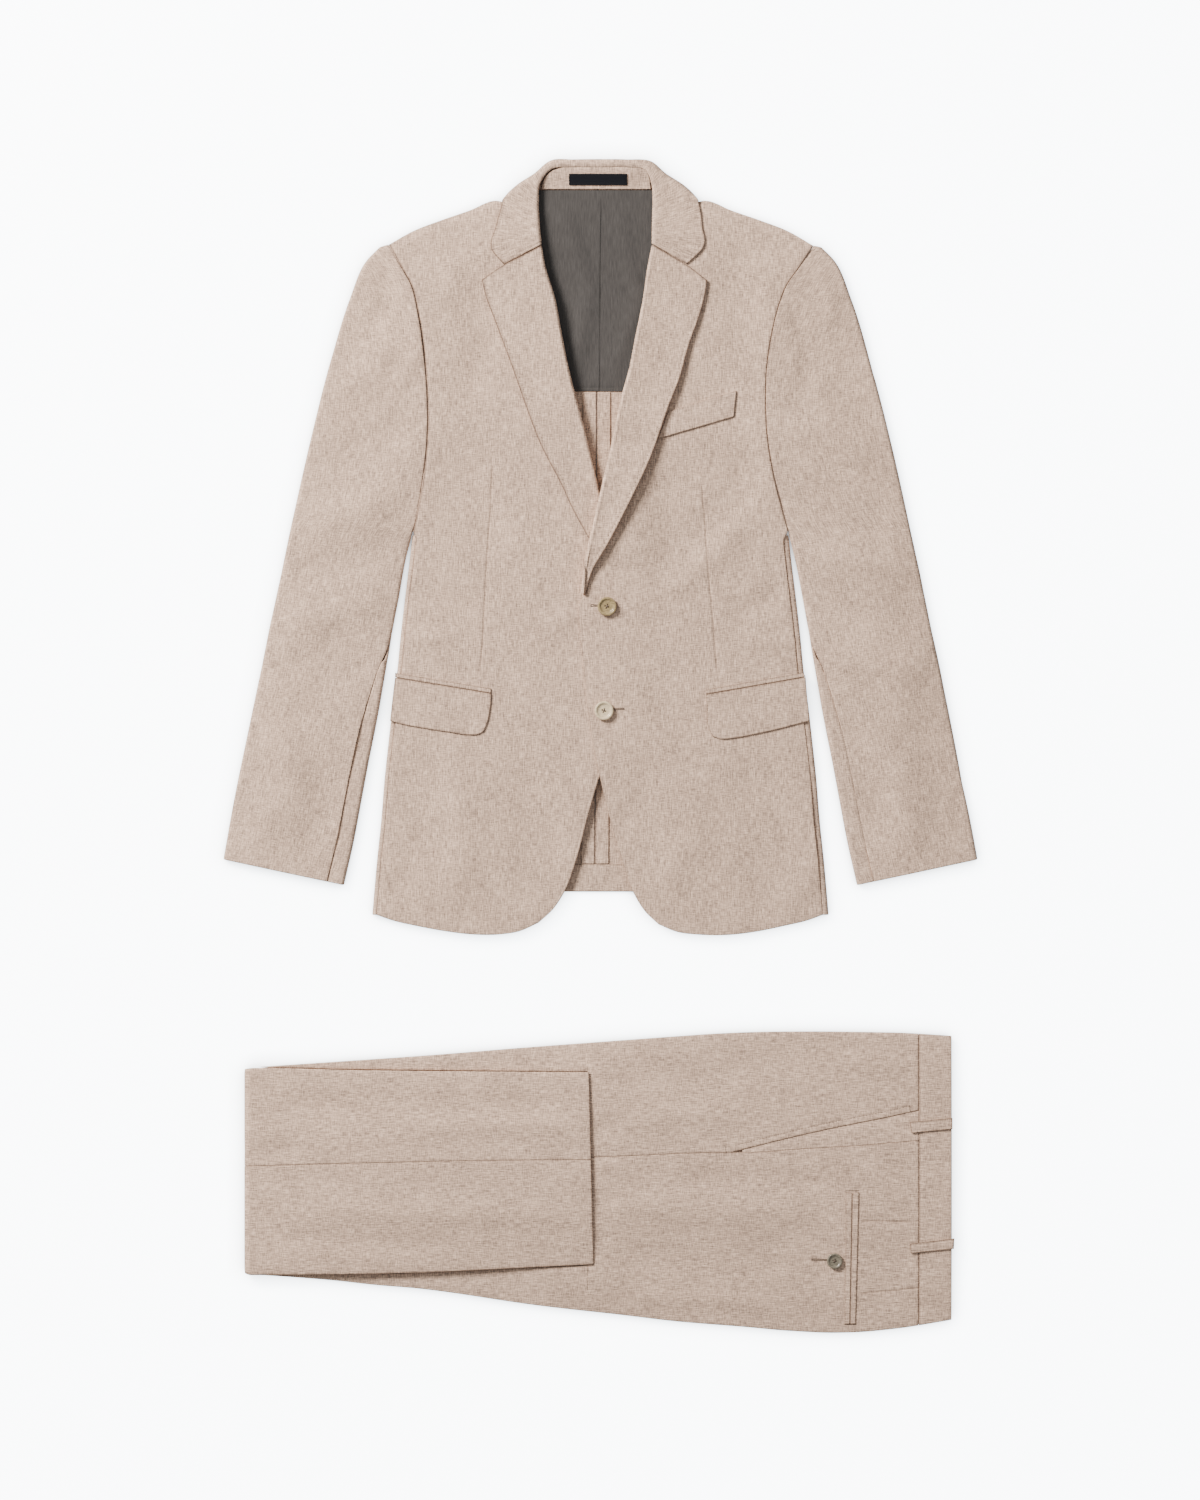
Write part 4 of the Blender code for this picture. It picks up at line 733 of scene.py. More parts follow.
@dataclass(frozen=True)
class JacketLevels:
    """How high the jacket's layers lie above the floor."""

    front: float = 7.2
    sleeve: float = 8.4
    neck_rise: float = 2.4
    stand_high: float = 10.5
    stand_low: float = 6.9
    body_swell: float = 2.6
    body_width: float = 235.0
    armhole_rise: float = 2.4
    armhole_width: float = 26.0
    armhole_fades: Pair = (320.0, 400.0)
    swell_starts: Pair = (38.0, 90.0)
    neck_fades_down: Pair = (52.0, 140.0)
    neck_fades_across: Pair = (96.0, 150.0)
    overlap_fades: Pair = (32.0, 74.0)
    stand_slope: Pair = (10.0, 29.5)

    def swell(self, plan: Array) -> Array:
        """How far the fronts swell: low towards the sides, with a ridge along the armholes."""
        across, down = np.abs(plan[..., 0]), plan[..., 1]
        body = self.body_swell * np.maximum(1 - (across / self.body_width) ** 4, 0.0)
        inside = read(ARMHOLE_RIDGE, down) - across
        ridge = self.armhole_rise * np.exp(-(inside / self.armhole_width) ** 2)
        return (body + ridge * (1 - soft_step(*self.armhole_fades, down))) * soft_step(*self.swell_starts, down)

    def neck(self, plan: Array) -> Array:
        """How far the layers rise over the part of the collar that is tucked under the back neck."""
        return (self.neck_rise * (1 - soft_step(*self.neck_fades_down, plan[..., 1]))
                * (1 - soft_step(*self.neck_fades_across, np.abs(plan[..., 0]))))

    def back(self, plan: Array) -> Array:
        """Height of the back's upper face."""
        return BACK_CLOTH + self.neck(plan)

    def right_front(self, plan: Array) -> Array:
        """Height of the right front's face."""
        return self.front + self.neck(plan) + self.swell(plan)

    def left_front(self, plan: Array) -> Array:
        """Height of the left front's face, lifted where the right front and its lapel lie under it."""
        return (self.right_front(plan)
                + read(OVERLAP_LIFT, plan[..., 1]) * (1 - soft_step(*self.overlap_fades, plan[..., 0])))

    def stand(self, plan: Array) -> Array:
        """Height of the collar stand's face, from the roll down to the back neck seam."""
        return self.stand_high + (self.stand_low - self.stand_high) * soft_step(*self.stand_slope, plan[..., 1])


LEVELS = JacketLevels()


@dataclass
class Back(SubAssembly):
    """The two back panels, their seam allowances ironed open and the turned-up hem."""

    pitch: float = 4.2
    hem_line: float = 732.0
    hem_depth: float = 27.5
    allowance: float = 13.5
    under_side_panel: float = 46.5
    neck_line: float = 29.5
    lining_end: float = 232.6
    hem_half: float = 178.0
    armhole_inset: Pair = (2.6, 2.0)

    def build(self, room: Workroom) -> None:
        """Make the panels, the allowances that lie open on them, and the hem."""
        for hand in Hand:
            self.panel(room, hand)
            self.open_allowance(room, hand)
        high, low = self.hem_line - self.hem_depth, self.hem_line - 0.5
        half = self.hem_half
        plan = four_sided(((-half, high), (half, high), (half, low), (-half, low)), 4.0)
        wall = Wall.flat("back_hem", Ground.JACKET, plan, BACK_CLOTH + GAP + THIN, THIN)
        # The hem's stitched top carries a line of painted shade
        wall.lips(top=Lip(round=0.6, stitch=1.6, stitch_depth=0.2, line=0.55), bottom=Lip(round=0.7))
        room.sheet(wall)

    def panel(self, room: Workroom, hand: Hand) -> None:
        """One back panel, from armhole and side panel to the centre seam."""
        side = hand.value
        turn = ((side * 177.5, 352.0), (side * 168.0, 364.0), (side * 146.0, 371.0), (side * 142.0, 383.0))
        under = tuple((side * (row[0] - self.under_side_panel), row[1]) for row in SIDE_EDGE[2:-1])
        inset, drop = self.armhole_inset
        outline = (tuple((side * (row[0] - inset), row[1] + drop) for row in ARMHOLES[hand][:-1]) + turn + under
                   + ((side * (self.hem_half + 0.5), self.hem_line),))
        centre = ((-3.0, self.neck_line), (-3.4, 150.0), (-3.7, 232.0), (-4.4, 420.0), (-5.2, 590.0),
                  (-5.7, self.hem_line))
        neck = (tuple((side * row[0], row[1] + 2.5) for row in SHOULDER[1:-1])
                + ((side * 97.0, 45.0), (side * 80.0, 37.0), (side * 40.0, self.neck_line + 0.5)))
        plan = Coons(outline, shifted(centre, side * SEWN), above=neck).grid(self.pitch)
        wall = Wall.flat(f"back_{hand.word}", Ground.JACKET, plan, LEVELS.back(plan), BACK_CLOTH)
        # A line of painted shade along the centre seam
        wall.lips(left=HIDDEN, right=Lip(round=0.6, pucker=0.05, line=0.6), bottom=Lip(round=0.8))
        room.sheet(wall)

    def open_allowance(self, room: Workroom, hand: Hand) -> None:
        """One seam allowance of the centre back seam, ironed open, its raw edge bound."""
        side = hand.value
        inner = ((side * 0.3 - 3.75, self.lining_end), (side * 0.3 - 5.6, self.hem_line - self.hem_depth - 0.4))
        plan = Coons(inner, shifted(inner, side * self.allowance)).grid(4.0)
        wall = Wall.flat(f"seam_allowance_{hand.word}", Ground.JACKET, plan, BACK_CLOTH + GAP + THIN, THIN)
        # Lines of painted shade along both edges of the allowance
        wall.lips(left=Lip(round=0.5, line=0.65), right=Lip(round=0.5, stitch=1.8, stitch_depth=0.2, line=0.55))
        room.sheet(wall)


@dataclass
class NeckInside(SubAssembly):
    """What shows inside the neck: the half lining, the collar stand and the bare label on it."""

    bottom: float = 232.0
    hem_stitch: float = 3.6
    label_thread: float = 0.22
    label_stitch: float = 1.4
    lining_folds: float = 0.4
    pleat_step: float = 0.6

    def build(self, room: Workroom) -> None:
        """Make the lining, the stand and the label."""
        left = ((-74.0, 31.5), (-96.0, 60.0), (-112.0, 110.0), (-116.0, 170.0), (-112.0, self.bottom))
        right = tuple((-row[0], row[1]) for row in left)
        pleat = ((0.6, 31.0), (-0.6, 120.0), (-1.2, self.bottom))
        plan = Coons(left, right).grid(3.2, (pleat,))
        wall = Wall.flat("back_lining", Ground.JACKET, plan, LEVELS.back(plan) + 2 * GAP + THIN, THIN)
        wall.lips(bottom=Lip(round=0.6, fall=0.25, stitch=self.hem_stitch, stitch_depth=0.3, pucker=0.12))
        wall.fold(LINING_FOLDS, self.lining_folds)
        off_pleat = plan[..., 0] - np.interp(plan[..., 1], *np.array(pleat).T[::-1])
        wall.relief -= self.pleat_step * soft_step(-0.4, 0.4, off_pleat)
        wall.relief *= soft_step(29.0, 60.0, plan[..., 1])
        room.sheet(wall, "lining")
        self.stand(room)
        self.label(room)

    def stand(self, room: Workroom) -> None:
        """The collar stand, with its stitches along the back neck seam."""
        left = ((-47.6, 12.2), (-53.6, 17.3), (-57.1, 22.6), (-58.6, 30.4))
        right = ((46.1, 12.2), (48.1, 17.3), (49.4, 22.6), (50.2, 30.4))
        plan = Coons(left, right, above=((-36.0, 8.8), (-18.0, 8.4), (18.0, 8.4), (36.0, 8.8))).grid(2.0)
        wall = Wall.flat("collar_stand", Ground.JACKET, plan, LEVELS.stand(plan), CLOTH)
        wall.lips(bottom=Lip(round=0.5, stitch=2.2, stitch_depth=0.2, pucker=0.06))
        room.sheet(wall)

    def label(self, room: Workroom) -> None:
        """The woven label, bare, with both ends turned in and sewn down."""
        low, high, top, bottom = NECK_LABEL
        plan = four_sided(((low, top), (high, top), (high, bottom), (low, bottom)), 1.5)
        wall = Wall.flat("neck_label", Ground.JACKET, plan, self.top_of_label(plan), THIN)
        inside = self.label_stitch
        wall.lips(*[Lip(round=0.45, stitch=place, stitch_depth=0.16) for place in (inside, inside, 0.0, 0.0)])
        room.sheet(wall, "label")
        ends = [np.array([[x, top + 1.2], [x, bottom - 1.2]]) for x in (low + inside, high - inside)]
        stitches = [stitch_bodies(Ground.JACKET, end, self.top_of_label, 2.0, 1.3, self.label_thread)
                    for end in ends]
        room.body("label_stitches", *joined(stitches), "label", slot="label")

    @staticmethod
    def top_of_label(plan: Array) -> Array:
        """Height of the label's face."""
        return LEVELS.stand(plan) + GAP + THIN


@dataclass
class Fronts(SubAssembly):
    """The two fronts, each with its dart, from armhole and side seam to the roll line and the front edge."""

    pitch: float = 3.1
    shoulder_inset: float = 1.6
    shoulder_drop: float = 1.6
    allowance: float = 3.4
    side_seam: Pair = (372.0, 392.0)
    side_seam_tone: float = 0.15

    def build(self, room: Workroom) -> None:
        """Make the right front, which lies under, and the left one, which lies over it."""
        rows = ((Hand.RIGHT, RIGHT_FRONT_EDGE, RIGHT_HEM, RIGHT_DART, LEVELS.right_front),
                (Hand.LEFT, LEFT_FRONT_EDGE, LEFT_HEM, LEFT_DART, LEVELS.left_front))
        for hand, edge, hem, dart, level in rows:
            side, armhole, inset = hand.value, ARMHOLES[hand], SIDE_SEAM_INSET[hand]
            along_arm = tuple((side * (row[0] - 0.5), row[1]) for row in armhole[:-1] + (UNDERARM,))
            below_arm = tuple((side * (row[0] - inset), row[1]) for row in (SIDE_SEAM_START,) + SIDE_EDGE[1:])
            outer = np.concatenate([through(along_arm, 81), through(below_arm, 101)])
            shoulder = tuple((side * row[0], row[1] + self.shoulder_inset) for row in SHOULDER[1:])
            shoulder += ((side * 94.0, 43.6),)
            plan = Coons(outer, edge, above=shoulder, below=tuple(reversed(hem))).grid(self.pitch, (dart,))
            wall = Wall.flat(f"{hand.word}_front", Ground.JACKET, plan, level(plan), CLOTH)
            # The armhole seam and the front edge carry lines of painted shade
            wall.lips(ARMHOLE if hand is Hand.RIGHT else SEAM, STITCHED,
                      Lip(round=0.9, fall=self.shoulder_drop, fall_width=9.0), Lip(round=1.0, fall=0.3))
            # Less shade is painted along the front's side below the underarm
            side_part = soft_step(*self.side_seam, plan[..., 1]) * (np.abs(plan[..., 0]) > 130.0)
            wall.tone *= 1 - (1 - self.side_seam_tone) * side_part
            wall.sew(dart, depth=0.55).fold(JACKET_FOLDS)
            room.sheet(wall)
            self.armhole_allowance(room, hand, armhole, level)

    def armhole_allowance(self, room: Workroom, hand: Hand, armhole: Rows, level: Level) -> None:
        """The seam allowance that lies inside along the armhole, seen only at the bottom of the seam."""
        course = tuple((hand.value * row[0], row[1]) for row in armhole[:-1] + (UNDERARM,))
        inner = shifted(course, -hand.value * self.allowance)
        plan = Coons(inner, shifted(course, hand.value * 0.15)).grid(2.2)
        wall = Wall.flat(f"{hand.word}_armhole_allowance", Ground.JACKET, plan, level(plan) - CLOTH - SEWN, THIN, ())
        room.sheet(wall)


@dataclass
class SidePanels(SubAssembly):
    """Side panels: a strip on top, the bend round the body's side, and a wide leg flat on the floor."""

    bend: float = 3.6
    under: float = 45.0

    def build(self, room: Workroom) -> None:
        """Make both panels along the body's side edge."""
        course = Curve(((187.6, 376.0), (188.5, 383.0)) + SIDE_EDGE[1:])
        rows = course.at(spaced(course.length, 3.4) / course.length)
        turn = np.linspace(0, np.pi, 21)
        for hand in Hand:
            inset = SIDE_SEAM_INSET[hand]
            inward = np.concatenate([[inset - 2 * SEWN], self.bend * (1 - np.sin(turn)), [self.under]])
            height = np.concatenate([[2 * self.bend], self.bend * (1 + np.cos(turn)), [0.0]])
            run = length_along(np.column_stack([inward, height]))
            places = np.concatenate([np.array([0.0, 0.3, 0.7]) * min(1.0, run[1]), np.linspace(run[1], run[21], 15),
                                     np.linspace(run[21], run[-1], 9)[1:]])
            inward, height = np.interp(places, run, inward), np.interp(places, run, height)
            plan = np.stack([hand.value * (rows[:, None, 0] - inward[None]),
                             np.repeat(rows[:, None, 1], len(inward), axis=1)], axis=-1)
            grain = np.stack(np.broadcast_arrays(places[None], rows[:, 1:]), axis=-1)
            wall = Wall.curved(f"{hand.word}_side_panel", Ground.JACKET, plan, height[None], BACK_CLOTH,
                               -hand.value, grain)
            wall.lips(left=Lip(round=0.5, pucker=0.05), bottom=Lip(round=0.8))
            room.sheet(wall)


@dataclass
class Sleeves(SubAssembly):
    """Two-piece sleeves, flattened: the top sleeve wraps the outer edge, the under sleeve the inner edge."""

    bend: float = 4.2
    tuck: float = 18.0
    bend_seam_gap: float = 2.4
    head_rise: float = 3.4
    lower_swell: float = 2.6
    rows: float = 3.3
    face_columns: int = 44
    underarm: Pair = (0.44, 0.47)
    seam_turns: Pair = (0.455, 0.485)
    seam_fades: Pair = (0.44, 0.50)
    seam_tone: float = 0.05
    head_ends: Pair = (0.28, 0.44)
    head_power: float = 1.3

    def build(self, room: Workroom) -> None:
        """Make both pieces of both sleeves."""
        outer = through(SLEEVE_OUTER, 181)
        for hand in Hand:
            inner = np.concatenate([through(shifted(ARMHOLES[hand][:-1], 0.3), 81), through(SLEEVE_INNER, 101)])
            size = float(length_along(outer)[-1])
            turns = tuple(share * size for share in self.seam_turns)
            shares = spaced(size, self.rows, turns, (0.0, 2.0)) / size
            starts, ends = Curve(inner).at(shares), Curve(outer).at(shares)
            sections = [self.section(share, start, end) for share, start, end in zip(shares, starts, ends)]
            for k, name in enumerate(("top", "under")):
                made = np.array([section[k] for section in sections])
                plan = made[..., :2] * np.array([hand.value, 1.0])
                grain = np.stack([made[..., 3], np.broadcast_to(shares[:, None] * size, made.shape[:2])], axis=-1)
                wall = Wall.curved(f"{hand.word}_{name}_sleeve", Ground.JACKET, plan, made[..., 2], CLOTH,
                                   -hand.value, grain)
                wall.lips(left=SEAM if k == 0 else HIDDEN, right=SEAM if k else HIDDEN, top=Lip(round=0.8),
                          bottom=Lip(round=0.9))
                # Less shade is painted along the sleeve seam from the underarm down
                wall.tone *= (1 - (1 - self.seam_tone) * soft_step(*self.seam_fades, shares))[:, None]
                if k == 0:
                    mirror = np.array([hand.value, 1.0, hand.value, 1.0, 1.0, float(hand.value)])
                    wall.fold(tuple(tuple(np.array(row) * mirror) for row in SLEEVE_FOLDS))
                room.sheet(wall)

    def section(self, share: float, start: Array, end: Array) -> tuple[Array, Array]:
        """One section of a sleeve, as points of its top piece and of its under piece.

        The section runs from the inner edge over the top, round the outer edge, back along the floor and
        round the inner edge, which is sharp beside the armhole and a bend below it.

        Args:
            share: how far down the sleeve the section is.
            start: the section's end at the inner edge, in plan.
            end: its end at the outer edge, in plan.

        Returns:
            Two grids' rows: across, down, height and distance along the section.
        """
        width = float(np.linalg.norm(end - start))
        free = float(soft_step(*self.underarm, share))
        outer_bend, inner_bend = min(self.bend, 0.55 * width), min(self.bend * free + 0.01, 0.4 * width)
        turn, half = np.linspace(0, np.pi, 21), LEVELS.sleeve / 2
        outward = np.concatenate([[inner_bend], width - outer_bend * (1 - np.sin(turn)),
                                  inner_bend * (1 - np.sin(turn))])
        height = np.concatenate([[2 * half], half * (1 + np.cos(turn)), half * (1 - np.cos(turn))])
        run = length_along(np.column_stack([outward, height]))
        seam = float(read(SLEEVE_SEAM_SHOWS, share))
        seam_under, floor_end = run[21] + min(self.tuck, 0.12 * width), run[22]
        gap = 2 * SEWN if seam > 1.0 else self.bend_seam_gap
        under_end = floor_end + (run[-1] + seam - gap - floor_end) * free
        first_bend = min(floor_end - 0.5, under_end - 1.4)
        near = seam + np.array(NEAR_EDGE) * min(1.0, 0.3 * (run[1] - seam) / NEAR_EDGE[-1])
        over = np.concatenate([near, np.linspace(near[-1], run[1], self.face_columns)[1:],
                               np.linspace(run[1], run[21], 13)[1:], np.linspace(run[21], seam_under, 4)[1:]])
        beneath = np.concatenate([np.linspace(seam_under + GAP, first_bend, 14),
                                  np.linspace(first_bend, under_end, 20)[1:]])
        made = []
        for places in (over, beneath):
            x = np.interp(places, run, outward, period=run[-1])
            z = np.interp(places, run, height, period=run[-1])
            if places is over:
                z += self.swell(share, np.clip(places / run[1], 0.0, 1.0))
            made.append(np.column_stack([start + (end - start) / width * x[:, None], z, places]))
        return made[0], made[1]

    def swell(self, share: float, place: Array) -> Array:
        """How far the top swells, at a share of the sleeve's length and at shares of its face outwards."""
        low = float(soft_step(*self.head_ends, share))
        head = self.head_rise * (1 - place) ** self.head_power * float(soft_step(0.0, 0.06, share))
        return (1 - low) * head + low * self.lower_swell * 4 * place * (1 - place)


@dataclass
class Lapels(SubAssembly):
    """Lapels: a stub level with the front, the bend at the roll line, and the leaf that lies on the front."""

    stub: float = 4.0
    bend_width: float = 3.0
    bend_clear: float = 0.6
    lift_power: float = 2.5
    pitch: float = 2.6

    def build(self, room: Workroom) -> None:
        """Make the right lapel, then the left one."""
        rows = ((Hand.RIGHT, RIGHT_ROLL, RIGHT_LEAF, RIGHT_LAPEL_TOP, RIGHT_LAPEL_STANDS, RIGHT_ROLL_SPRING,
                 RIGHT_EDGE_LIFT, LEVELS.right_front),
                (Hand.LEFT, LEFT_ROLL, LEFT_LEAF, LEFT_LAPEL_TOP, LEFT_LAPEL_STANDS, LEFT_ROLL_SPRING,
                 LEFT_EDGE_LIFT, LEVELS.left_front))
        for hand, roll, leaf, upper, stands, springs, lifts, level in rows:
            plan = Coons(roll, leaf, above=upper).grid(self.pitch)
            across = np.pad(np.cumsum(np.linalg.norm(np.diff(plan, axis=1), axis=2), axis=1), ((0, 0), (1, 0)))
            share = across / across[:, -1:]
            ground = level(plan)
            top = (ground + read(stands, plan[..., 1]) + CLOTH + read(springs, plan[..., 1]) * (1 - share) ** 2
                   + read(lifts, plan[..., 1]) * share ** self.lift_power)
            low = ground[:, 0] - CLOTH
            half = (top[:, 0] - low) / 2
            inward = unit(plan[:, -1] - plan[:, 0])
            turn = np.linspace(0, np.pi, 13)[None, :, None]
            bend = plan[:, :1] + inward[:, None] * self.bend_width * (1 - np.sin(turn))
            bend_height = low[:, None] + half[:, None] * (1 - np.cos(turn[..., 0]))
            first = int(np.argmax(across.mean(axis=0) > self.bend_width + self.bend_clear))
            stub = plan[:, :1] + inward[:, None] * self.stub
            whole = np.concatenate([stub, bend, plan[:, first:]], axis=1)
            height = np.concatenate([low[:, None], bend_height, top[:, first:]], axis=1)
            wall = Wall.curved(f"{hand.word}_lapel", Ground.JACKET, whole, height, CLOTH, -hand.value, whole.copy())
            # Lines of painted shade along the leaf's edge and top, darkest on the right lapel, whose edge faces the
            # light
            wall.lips(right=LIT_EDGE_PAINTED_SHADE if hand is Hand.RIGHT else STITCHED,
                      top=Lip(round=0.4, fall=0.1, line=0.9, line_width=1.2))
            wall.fold(JACKET_FOLDS)
            room.sheet(wall)


@dataclass
class Collar(SubAssembly):
    """The collar's fall, swept round the neck: its curl at the roll, its face, and its turn underneath."""

    rest: float = 0.4
    bend: float = 6.0
    curl: float = 4.0
    tucked: Pair = (30.0, 60.0)
    bent: Pair = (0.0, 14.0)
    stitched_until: float = 4.0
    underside: float = 60.0
    rows: int = 221
    face_columns: int = 22

    def build(self, room: Workroom) -> None:
        """Make the collar from the right gorge round the neck to the left gorge."""
        stations = through(COLLAR, self.rows)
        made = np.array([self.section(*station) for station in stations])
        around = length_along((stations[:, :2] + stations[:, 2:4]) / 2)
        grain = np.stack([np.broadcast_to(around[:, None], made.shape[:2]), made[..., 3]], axis=-1)
        wall = Wall.curved("collar_fall", Ground.JACKET, made[..., :2], made[..., 2], CLOTH, -1, grain)
        # The gorges carry a line of painted shade
        gorge = Lip(round=0.6, fall=0.3, stitch=3.0, pucker=0.04, line=0.55)
        wall.lips(top=gorge, bottom=gorge)
        shows = np.interp(stations[:, 4], [0.0, self.stitched_until], [1.0, 0.0])[:, None]
        inside = np.abs(made[..., 3] - made[:, -1:, 3])
        wall.relief += shows * STITCHED.shape(inside, around[:, None])
        # Shade painted along the stitched edge, darker on the right side, whose edge faces the light
        wall.tone += shows * np.where(stations[:, :1] < 0, LIT_EDGE_PAINTED_SHADE.tone(inside), STITCHED.tone(inside))
        room.sheet(wall)

    def section(self, inner_x: float, inner_y: float, edge_x: float, edge_y: float, past: float) -> Array:
        """One section across the collar: up round the curl, down over the face, and round and under its edge.

        Args:
            inner_x: where the curl starts, across.
            inner_y: where the curl starts, down.
            edge_x: the outline's place, across.
            edge_y: the outline's place, down.
            past: length of cloth that goes on past the outline, round and under.

        Returns:
            Rows of across, down, height and distance along the section.
        """
        inner, edge = np.array([inner_x, inner_y]), np.array([edge_x, edge_y])
        width = float(np.linalg.norm(edge - inner))
        outward = (edge - inner) / width
        share = float(soft_step(*self.tucked, past))
        level = LEVELS.right_front if inner_x < 0 else LEVELS.left_front
        ground_out = float(level(edge))
        ground_in = max(float(level(inner)), ground_out * share)
        quarter = np.linspace(0, np.pi / 2, 7)
        high = ground_in + self.rest + CLOTH + float(read(LEFT_ROLL_SPRING, inner_y)) * (1 - share)
        bend = min(self.bend, max(width - self.curl - 0.5, 0.5))
        low = ground_out + self.rest + CLOTH
        flat_end = width - bend * float(soft_step(*self.bent, past))
        face = np.linspace(0, 1, 15)[1:]
        turn = np.linspace(0, np.pi, 17)[1:]
        x = np.concatenate([self.curl * (1 - np.cos(quarter)), self.curl + (flat_end - self.curl) * face,
                            flat_end + (width - flat_end) * np.sin(turn), [flat_end - self.underside]])
        drop = float(read(ROLL_DROP, inner_y))
        z = np.concatenate([high - drop * (1 - np.sin(quarter)), low + (high - low) * (1 - face) ** 2,
                            low / 2 * (1 + np.cos(turn)), [0.0]])
        run = length_along(np.column_stack([x, z]))
        end = run[20] + past
        near = end - np.array(NEAR_EDGE)[::-1] * min(1.0, 0.3 * (end - run[6]) / NEAR_EDGE[-1])
        places = np.concatenate([run[:7], np.linspace(run[6], near[0], self.face_columns)[1:], near[1:]])
        x, z = np.interp(places, run, x), np.interp(places, run, z)
        return np.column_stack([inner + outward * x[:, None], z, places])


@dataclass
class JacketPockets(SubAssembly):
    """Hip pockets with jet and flap, and the breast pocket's welt."""

    welt_rest: float = 0.5

    def build(self, room: Workroom) -> None:
        """Make jets, flaps and welt, each laid on its front."""
        for hand, corners in ((Hand.RIGHT, RIGHT_JET), (Hand.LEFT, LEFT_JET)):
            plan = four_sided(corners, 1.6)
            wall = Wall.flat(f"{hand.word}_jet", Ground.JACKET, plan, LEVELS.right_front(plan) + GAP + THIN, THIN)
            # Lines of painted shade round each jet
            wall.lips(*[Lip(round=0.35, line=0.65, line_width=0.8)] * 4).fold(JACKET_FOLDS)
            room.sheet(wall)
        for hand, sides, edge in ((Hand.RIGHT, RIGHT_FLAP_SIDES, RIGHT_FLAP_EDGE),
                                  (Hand.LEFT, LEFT_FLAP_SIDES, LEFT_FLAP_EDGE)):
            plan = Coons(sides[0], sides[1], below=edge).grid(2.2)
            wall = Wall.flat(f"{hand.word}_flap", Ground.JACKET, plan, LEVELS.right_front(plan) + GAP + TRIM, TRIM)
            # Lines of painted shade round the flap
            sewn = Lip(round=0.6, fall=0.2, fall_width=3.0, stitch=3.0, stitch_depth=0.16, pucker=0.04, line=0.55)
            plain = Lip(round=0.35, line=0.65)
            wall.lips(plain, plain, plain, sewn).fold(JACKET_FOLDS)
            room.sheet(wall)
        plan = four_sided(BREAST_WELT, 1.9)
        wall = Wall.flat("breast_welt", Ground.JACKET, plan, LEVELS.left_front(plan) + self.welt_rest + TRIM, TRIM)
        # Lines of painted shade along the welt's stitched side, top and bottom
        wall.lips(Lip(round=0.5), Lip(round=0.5, stitch=1.6, stitch_depth=0.2, line=0.55), Lip(round=0.5, line=0.4),
                  Lip(round=0.5, fall=0.2, line=0.55)).fold(JACKET_FOLDS)
        room.sheet(wall)


@dataclass(frozen=True)
class TrouserLevels:
    """How high the trousers' layers lie above the floor, and where the hem and the waist seam lie along."""

    thigh: float = 7.0
    stack: float = 13.8
    swell: float = 4.0
    band_rise: float = 0.4
    hem_rise: float = 2.6
    hem_rise_reach: float = 70.0
    thigh_swells: Pair = (20.0, 200.0)
    shin_swells: Pair = (4.0, 150.0)
    hem: float = 344.0
    waist: float = 673.4
    end: float = 706.0

    def face(self, plan: Array) -> Array:
        """Height of the upper thigh's face: highest midway between its two creases."""
        arch = self.arch(plan, THIGH_TOP_EDGE, THIGH_BOTTOM_EDGE)
        beside_hem = np.exp(-((plan[..., 0] - self.hem) / self.hem_rise_reach) ** 2)
        rise = self.hem_rise * beside_hem * soft_step(0.0, 0.5, arch)
        return self.thigh + self.swell * arch * soft_step(*self.thigh_swells, plan[..., 0]) + rise

    def shin(self, plan: Array) -> Array:
        """Height of the folded lower leg's face: highest midway between its two creases."""
        arch = self.arch(plan, SHIN_TOP_EDGE, SHIN_BOTTOM_EDGE)
        return self.stack + self.swell * arch * soft_step(*self.shin_swells, plan[..., 0])

    def band(self, plan: Array) -> Array:
        """Height of the upper waistband's face."""
        return self.face(plan) + self.band_rise

    @staticmethod
    def arch(plan: Array, first: Rows, last: Rows) -> Array:
        """0 at the two creases and 1 midway between."""
        top, bottom = read(first, plan[..., 0]), read(last, plan[..., 0])
        share = np.clip((plan[..., 1] - top) / (bottom - top), 0.0, 1.0)
        return 4 * share * (1 - share)


FOLD = TrouserLevels()


